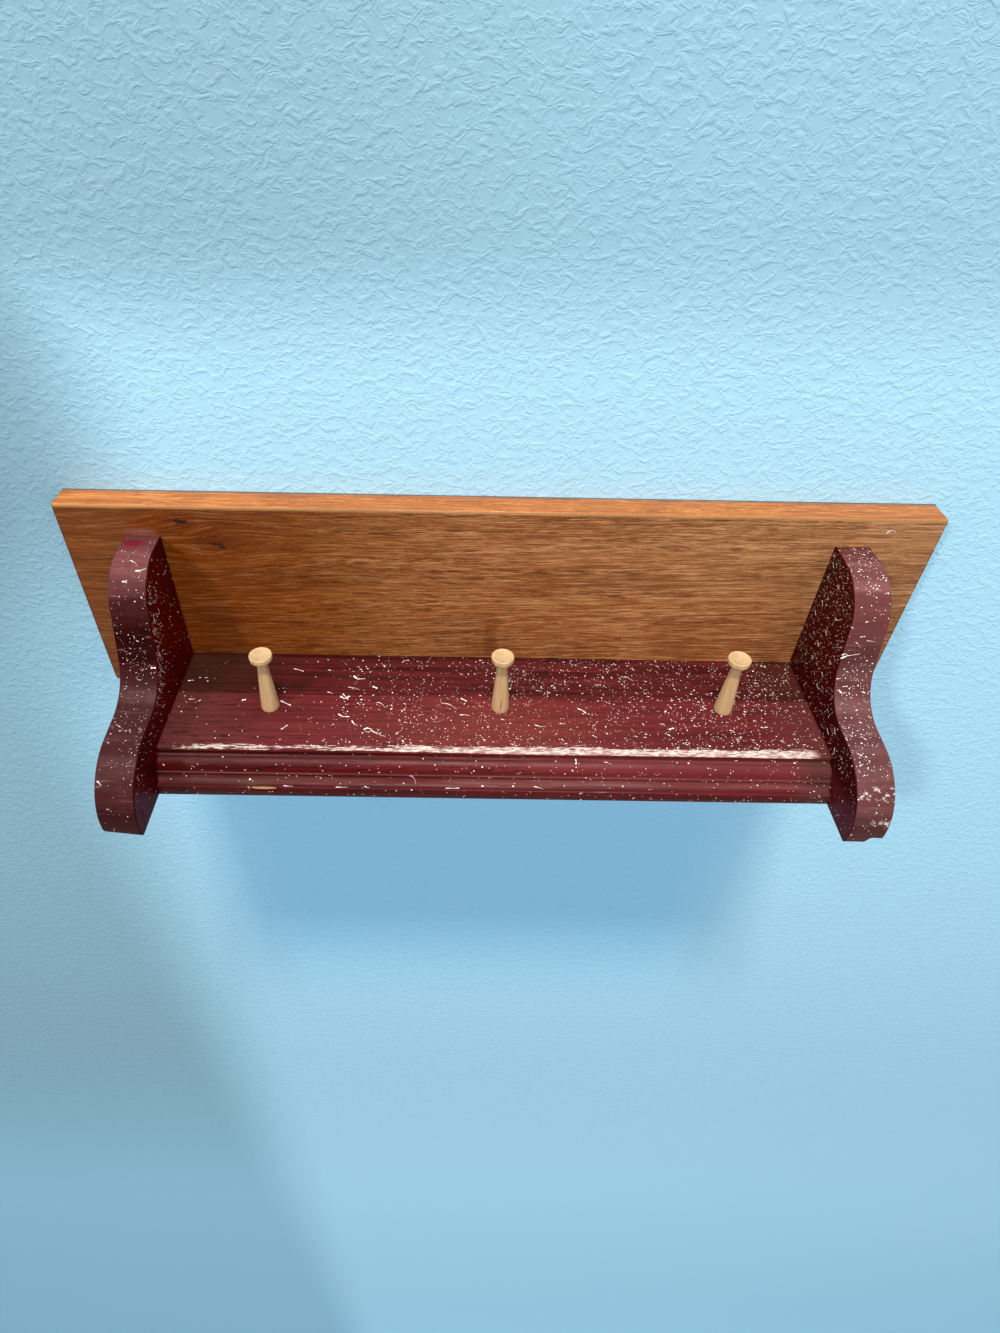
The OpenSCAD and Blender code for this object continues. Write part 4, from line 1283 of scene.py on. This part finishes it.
def bracket_drops(dr, side):
    b = BR[side]
    s = b["s"]
    n_in = Vector((-s, 0, 0))
    ring = bracket_ring(side, 0.0)
    # inner face
    want = 900 if side == "right" else 420
    got = 0
    while got < want:
        o = rng.uniform(0.5, b["foot"])
        u = rng.uniform(UNDER, b["rise"])
        if not inside((o, u), ring, 1.2) or (u < 0.3 and o < 99) or (u < -5 and o < 115):
            continue
        if side == "right":
            d = 0.95 if u > 22 else (0.75 if o > 60 else 0.5)
            if u < 0:
                d = 0.16
        else:
            edge = sawn_gap((o, u), ring)
            d = 0.95 if edge < 9 else (0.42 if edge < 17 else 0.07)
            d *= (1.0 if u < 88 else (0.45 if u < 95 else 0.06)) if u > 22 else 0.22
            if u < 0:
                d = 0.04
        if rng.random() > d:
            continue
        got += 1
        a, w = spatter_size()
        if side == "right":
            a, w = 0.80 * a, 0.80 * w
        a *= 0.82
        ang = rng.gauss(1.45, 0.5)
        t = Vector((0, -math.cos(ang), math.sin(ang)))
        dr.add(at(b["x0"] - s * 0.0, o, u), n_in, t, a, min(a, w), rng.uniform(0.05, 0.10))
    # sawn edge
    runs = []
    for i in range(len(ring)):
        p, q = Vector(ring[i]), Vector(ring[(i + 1) % len(ring)])
        if p.x < 0.5 and q.x < 0.5 or (p.y < UNDER + 0.5 and q.y < UNDER + 0.5):
            continue
        runs.append((p, q, (q - p).length))
    total = sum(r[2] for r in runs)
    want = 440 if side == "right" else 260
    got = 0
    while got < want:
        k = rng.uniform(0, total)
        for p, q, ln in runs:
            if k <= ln:
                break
            k -= ln
        xx = rng.uniform(1.2, BRACKET_T - 1.2)
        # the outline changes a little from the inner to the outer face
        t_ = xx / BRACKET_T
        e = p.lerp(q, k / ln if ln else 0)
        dirv = (q - p).normalized()
        nrm = Vector((-dirv.y, dirv.x))
        if nrm.x < 0 and nrm.y < 0.4 or nrm.dot(e - Vector((30, 0))) < 0:
            nrm = -nrm
        d = 0.45
        if side == "right":
            d = 0.95 if e.y > 102 else (0.30 if e.y > 60 else (0.65 if e.y > 30 else 0.75))
            if e.y < 16:
                d = 0.45
            if e.y < 5:
                d = 0.20
        else:
            d = 0.20 if e.y > 104 else (0.65 if e.y > 45 else 0.60)
            if e.y < 8:
                d = 0.25
        clump = noise.noise(Vector((xx * 0.09, e.x * 0.07, e.y * 0.07 + 11)))
        if not (side == "right" and e.y > 100):
            d *= max(0.12, 0.80 + 1.6 * clump)
        if side == "left" and e.y < 34:
            d *= 0.55
        if rng.random() > d:
            continue
        got += 1
        gap = surface_gap(side, t_, e, nrm)
        a, w = spatter_size(0.97)
        if side == "left":
            a, w = 0.74 * a, 0.74 * w
        ang = rng.gauss(0.15, 0.6)
        tx = Vector((s * math.cos(ang), -dirv.x * math.sin(ang), dirv.y * math.sin(ang)))
        o, u = e.x + nrm.x * gap, e.y + nrm.y * gap
        dr.add(at(b["x0"] + s * xx, o, u), Vector((0, -nrm.x, nrm.y)), tx, a, min(a, w),
               rng.uniform(0.06, 0.12))


def inside(p, ring, margin):
    hit = False
    for i in range(len(ring)):
        a, b = ring[i], ring[(i + 1) % len(ring)]
        if (a[1] > p[1]) != (b[1] > p[1]):
            if p[0] < a[0] + (p[1] - a[1]) * (b[0] - a[0]) / (b[1] - a[1]):
                hit = not hit
    return hit and edge_gap(p, ring) > margin


def sawn_gap(p, ring):
    """Distance to the sawn edge alone."""
    best = 1e9
    q = Vector(p)
    for i in range(len(ring)):
        a, b = Vector(ring[i]), Vector(ring[(i + 1) % len(ring)])
        if (a.x < 0.5 or b.x < 0.5) or (a.y < UNDER + 0.5 and b.y < UNDER + 0.5):
            continue
        ab = b - a
        k = max(0, min(1, (q - a).dot(ab) / max(ab.dot(ab), 1e-9)))
        best = min(best, (q - a - ab * k).length)
    return best


def edge_gap(p, ring):
    """Distance to the sawn edge, leaving out the straight back and bottom."""
    best = 1e9
    q = Vector(p)
    for i in range(len(ring)):
        a, b = Vector(ring[i]), Vector(ring[(i + 1) % len(ring)])
        if (a.x < 0.5 and b.x < 0.5):
            best = min(best, q.x + 4)
            continue
        ab = b - a
        k = max(0, min(1, (q - a).dot(ab) / max(ab.dot(ab), 1e-9)))
        best = min(best, (q - a - ab * k).length)
    return best


_trees = {}


def surface_gap(side, t, e, nrm):
    """How far the real surface at t lies from the inner outline, along nrm."""
    ob = bracket_obs[side]
    b = BR[side]
    start = at(b["x0"] + b["s"] * t * BRACKET_T, e.x + nrm.x * 6, e.y + nrm.y * 6)
    way = Vector((0, nrm.x, -nrm.y))
    ok, loc, _, _ = ob.ray_cast(start, way, distance=0.02)
    if not ok:
        return 0.0
    return 6 - (loc - start).length / MM


# ------------------------------------------------------------------ assembly
oak = oak_material()
paint = {k: paint_material(k) for k in ("shelf", "left", "right", "plug")}
cream = drop_material()
steel = steel_material("zinc_screws", False)
plate = steel_material("zinc_plate", True)

board = make_board(oak)
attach(board, "root")
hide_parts("back_board")

shelf = make_shelf(paint["shelf"])
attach(shelf, "root")
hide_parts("shelf")

bracket_obs = {}
for side in ("left", "right"):
    ob = make_bracket(side, paint[side])
    bracket_obs[side] = ob
    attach(ob, "root")
    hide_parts(side + "_bracket")

for name, lean in (("peg_left", (0.0, 0.0)), ("peg_centre", (-0.5, 0.0)),
                   ("peg_right", (0.4, 0.0))):
    cx, out_mm = PEGS[name]
    ob = make_peg(name, birch_material(cx, out_mm, name == "peg_centre"), lean)
    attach(ob, "root")
    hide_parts(name)

drops = Drops()
shelf_drops(drops)
bpy.context.view_layer.update()
for side in ("left", "right"):
    bracket_drops(drops, side)
named_marks(drops, {"shelf": shelf, "board": board, "left": bracket_obs["left"],
                    "right": bracket_obs["right"]})
spots = drops.make("paint_spatter", cream)
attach(spots, "root")

for node, mat in (("board_screws", steel), ("bracket_screws", steel),
                  ("hanger_screws", steel), ("left_hanger", plate),
                  ("right_hanger", plate), ("screw_plugs", paint["plug"])):
    me = frame["nodes"][node].data
    me.materials.clear()
    me.materials.append(mat)

# ------------------------------------------------------------------ backdrop
wall_t = Tree("wall_paint")
wt = wall_t.noise(wall_t.vec(wall_t.mul(wall_t.x, 0.8), wall_t.y, wall_t.mul(wall_t.z, 1.0)),
                  170, 3.0, 0.6, 0.8)
wt = wall_t.map(wt, 0.40, 0.70)
# painted shade over the left of the wall
dim = wall_t.mul(wall_t.map(wall_t.x, -0.26, -0.44), wall_t.map(wall_t.z, 0.42, 0.10))
shade = wall_t.m("MAXIMUM",
                 wall_t.mul(wall_t.map(wall_t.x, -0.22, -0.32), wall_t.map(wall_t.z, -0.18, 0.05),
                            0.37),
                 wall_t.mul(wall_t.map(wall_t.z, 0.11, 0.21),
                            wall_t.map(wall_t.x, 0.15, -0.22, 0.25, 0.37)))
# painted light: the glow stronger low down on the wall
low = wall_t.map(wall_t.z, -0.80, -1.75)
# painted shadow under the shelf, darker and bluer
under = wall_t.mul(wall_t.map(wall_t.z, -0.78, -0.50),
                   wall_t.map(wall_t.m("ABSOLUTE", wall_t.x), 0.34, 0.20))
wall_col = wall_t.mix(dim, (0.50, 0.79, 0.93), (0.31, 0.51, 0.60))
# the wall glows a little: a painted light, kept out of the painted shade
wall_glow = wall_t.mix(dim, (0.07, 0.50, 0.90), (0.04, 0.24, 0.44))
wall_col = wall_t.mix(wall_t.mul(under, wall_t.map(wall_t.z, -0.10, -0.13)), wall_col,
                      (0.74, 0.84, 0.98), "MULTIPLY")
wall_col = wall_t.mix(shade, wall_col, (0.0, 0.0, 0.0))
wall_glow = wall_t.mix(shade, wall_glow, (0.0, 0.0, 0.0))
wall_glow = wall_t.mix(low, wall_glow, (0.32, 0.94, 1.45))
wall_mat = wall_t.set(Base_Color=wall_col, Roughness=0.65,
                      Specular_IOR_Level=0.2, Emission_Color=wall_glow,
                      Emission_Strength=0.19,
                      Normal=wall_t.bump(wt, 0.0011, 0.36))
# seen from behind, the wall lets the view through to the rack's rear face
wall_geo = wall_t.nt.nodes.new("ShaderNodeNewGeometry")
wall_clear = wall_t.nt.nodes.new("ShaderNodeBsdfTransparent")
wall_mix = wall_t.nt.nodes.new("ShaderNodeMixShader")
wall_out = [n for n in wall_t.nt.nodes if n.type == "OUTPUT_MATERIAL"][0]
wall_t.nt.links.new(wall_geo.outputs["Backfacing"], wall_mix.inputs[0])
wall_t.nt.links.new(wall_t.bsdf.outputs[0], wall_mix.inputs[1])
wall_t.nt.links.new(wall_clear.outputs[0], wall_mix.inputs[2])
wall_t.nt.links.new(wall_mix.outputs[0], wall_out.inputs[0])


def wall_piece(name, x0, x1, z0, z1):
    ob = link_mesh(name, [(x0, 0.0006, z0), (x1, 0.0006, z0), (x1, 0.0006, z1),
                          (x0, 0.0006, z1)], [(0, 1, 2, 3)], [wall_mat])
    return ob


wall_piece("wall_left", -3.5, -0.3046, -3.7, 3.0)
wall_piece("wall_right", 0.3046, 3.5, -3.7, 3.0)
wall_piece("wall_low", -0.3046, 0.3046, -3.7, -0.1296)
wall_piece("wall_high", -0.3046, 0.3046, 0.0346, 3.0)

floor_t = Tree("floor_pale")
ft = floor_t.noise(floor_t.p, 40, 3.0, 0.5)
floor_mat = floor_t.set(Base_Color=floor_t.ramp(ft, [(0.3, (0.74, 0.74, 0.73)),
                                                     (0.7, (0.80, 0.80, 0.79))]),
                        Roughness=0.6, Normal=floor_t.bump(ft, 0.0004, 0.3))
floor = link_mesh("floor", [(-6, -8, -3.60), (6, -8, -3.60), (6, 6, -3.60), (-6, 6, -3.60)],
                  [(0, 1, 2, 3)], [floor_mat])
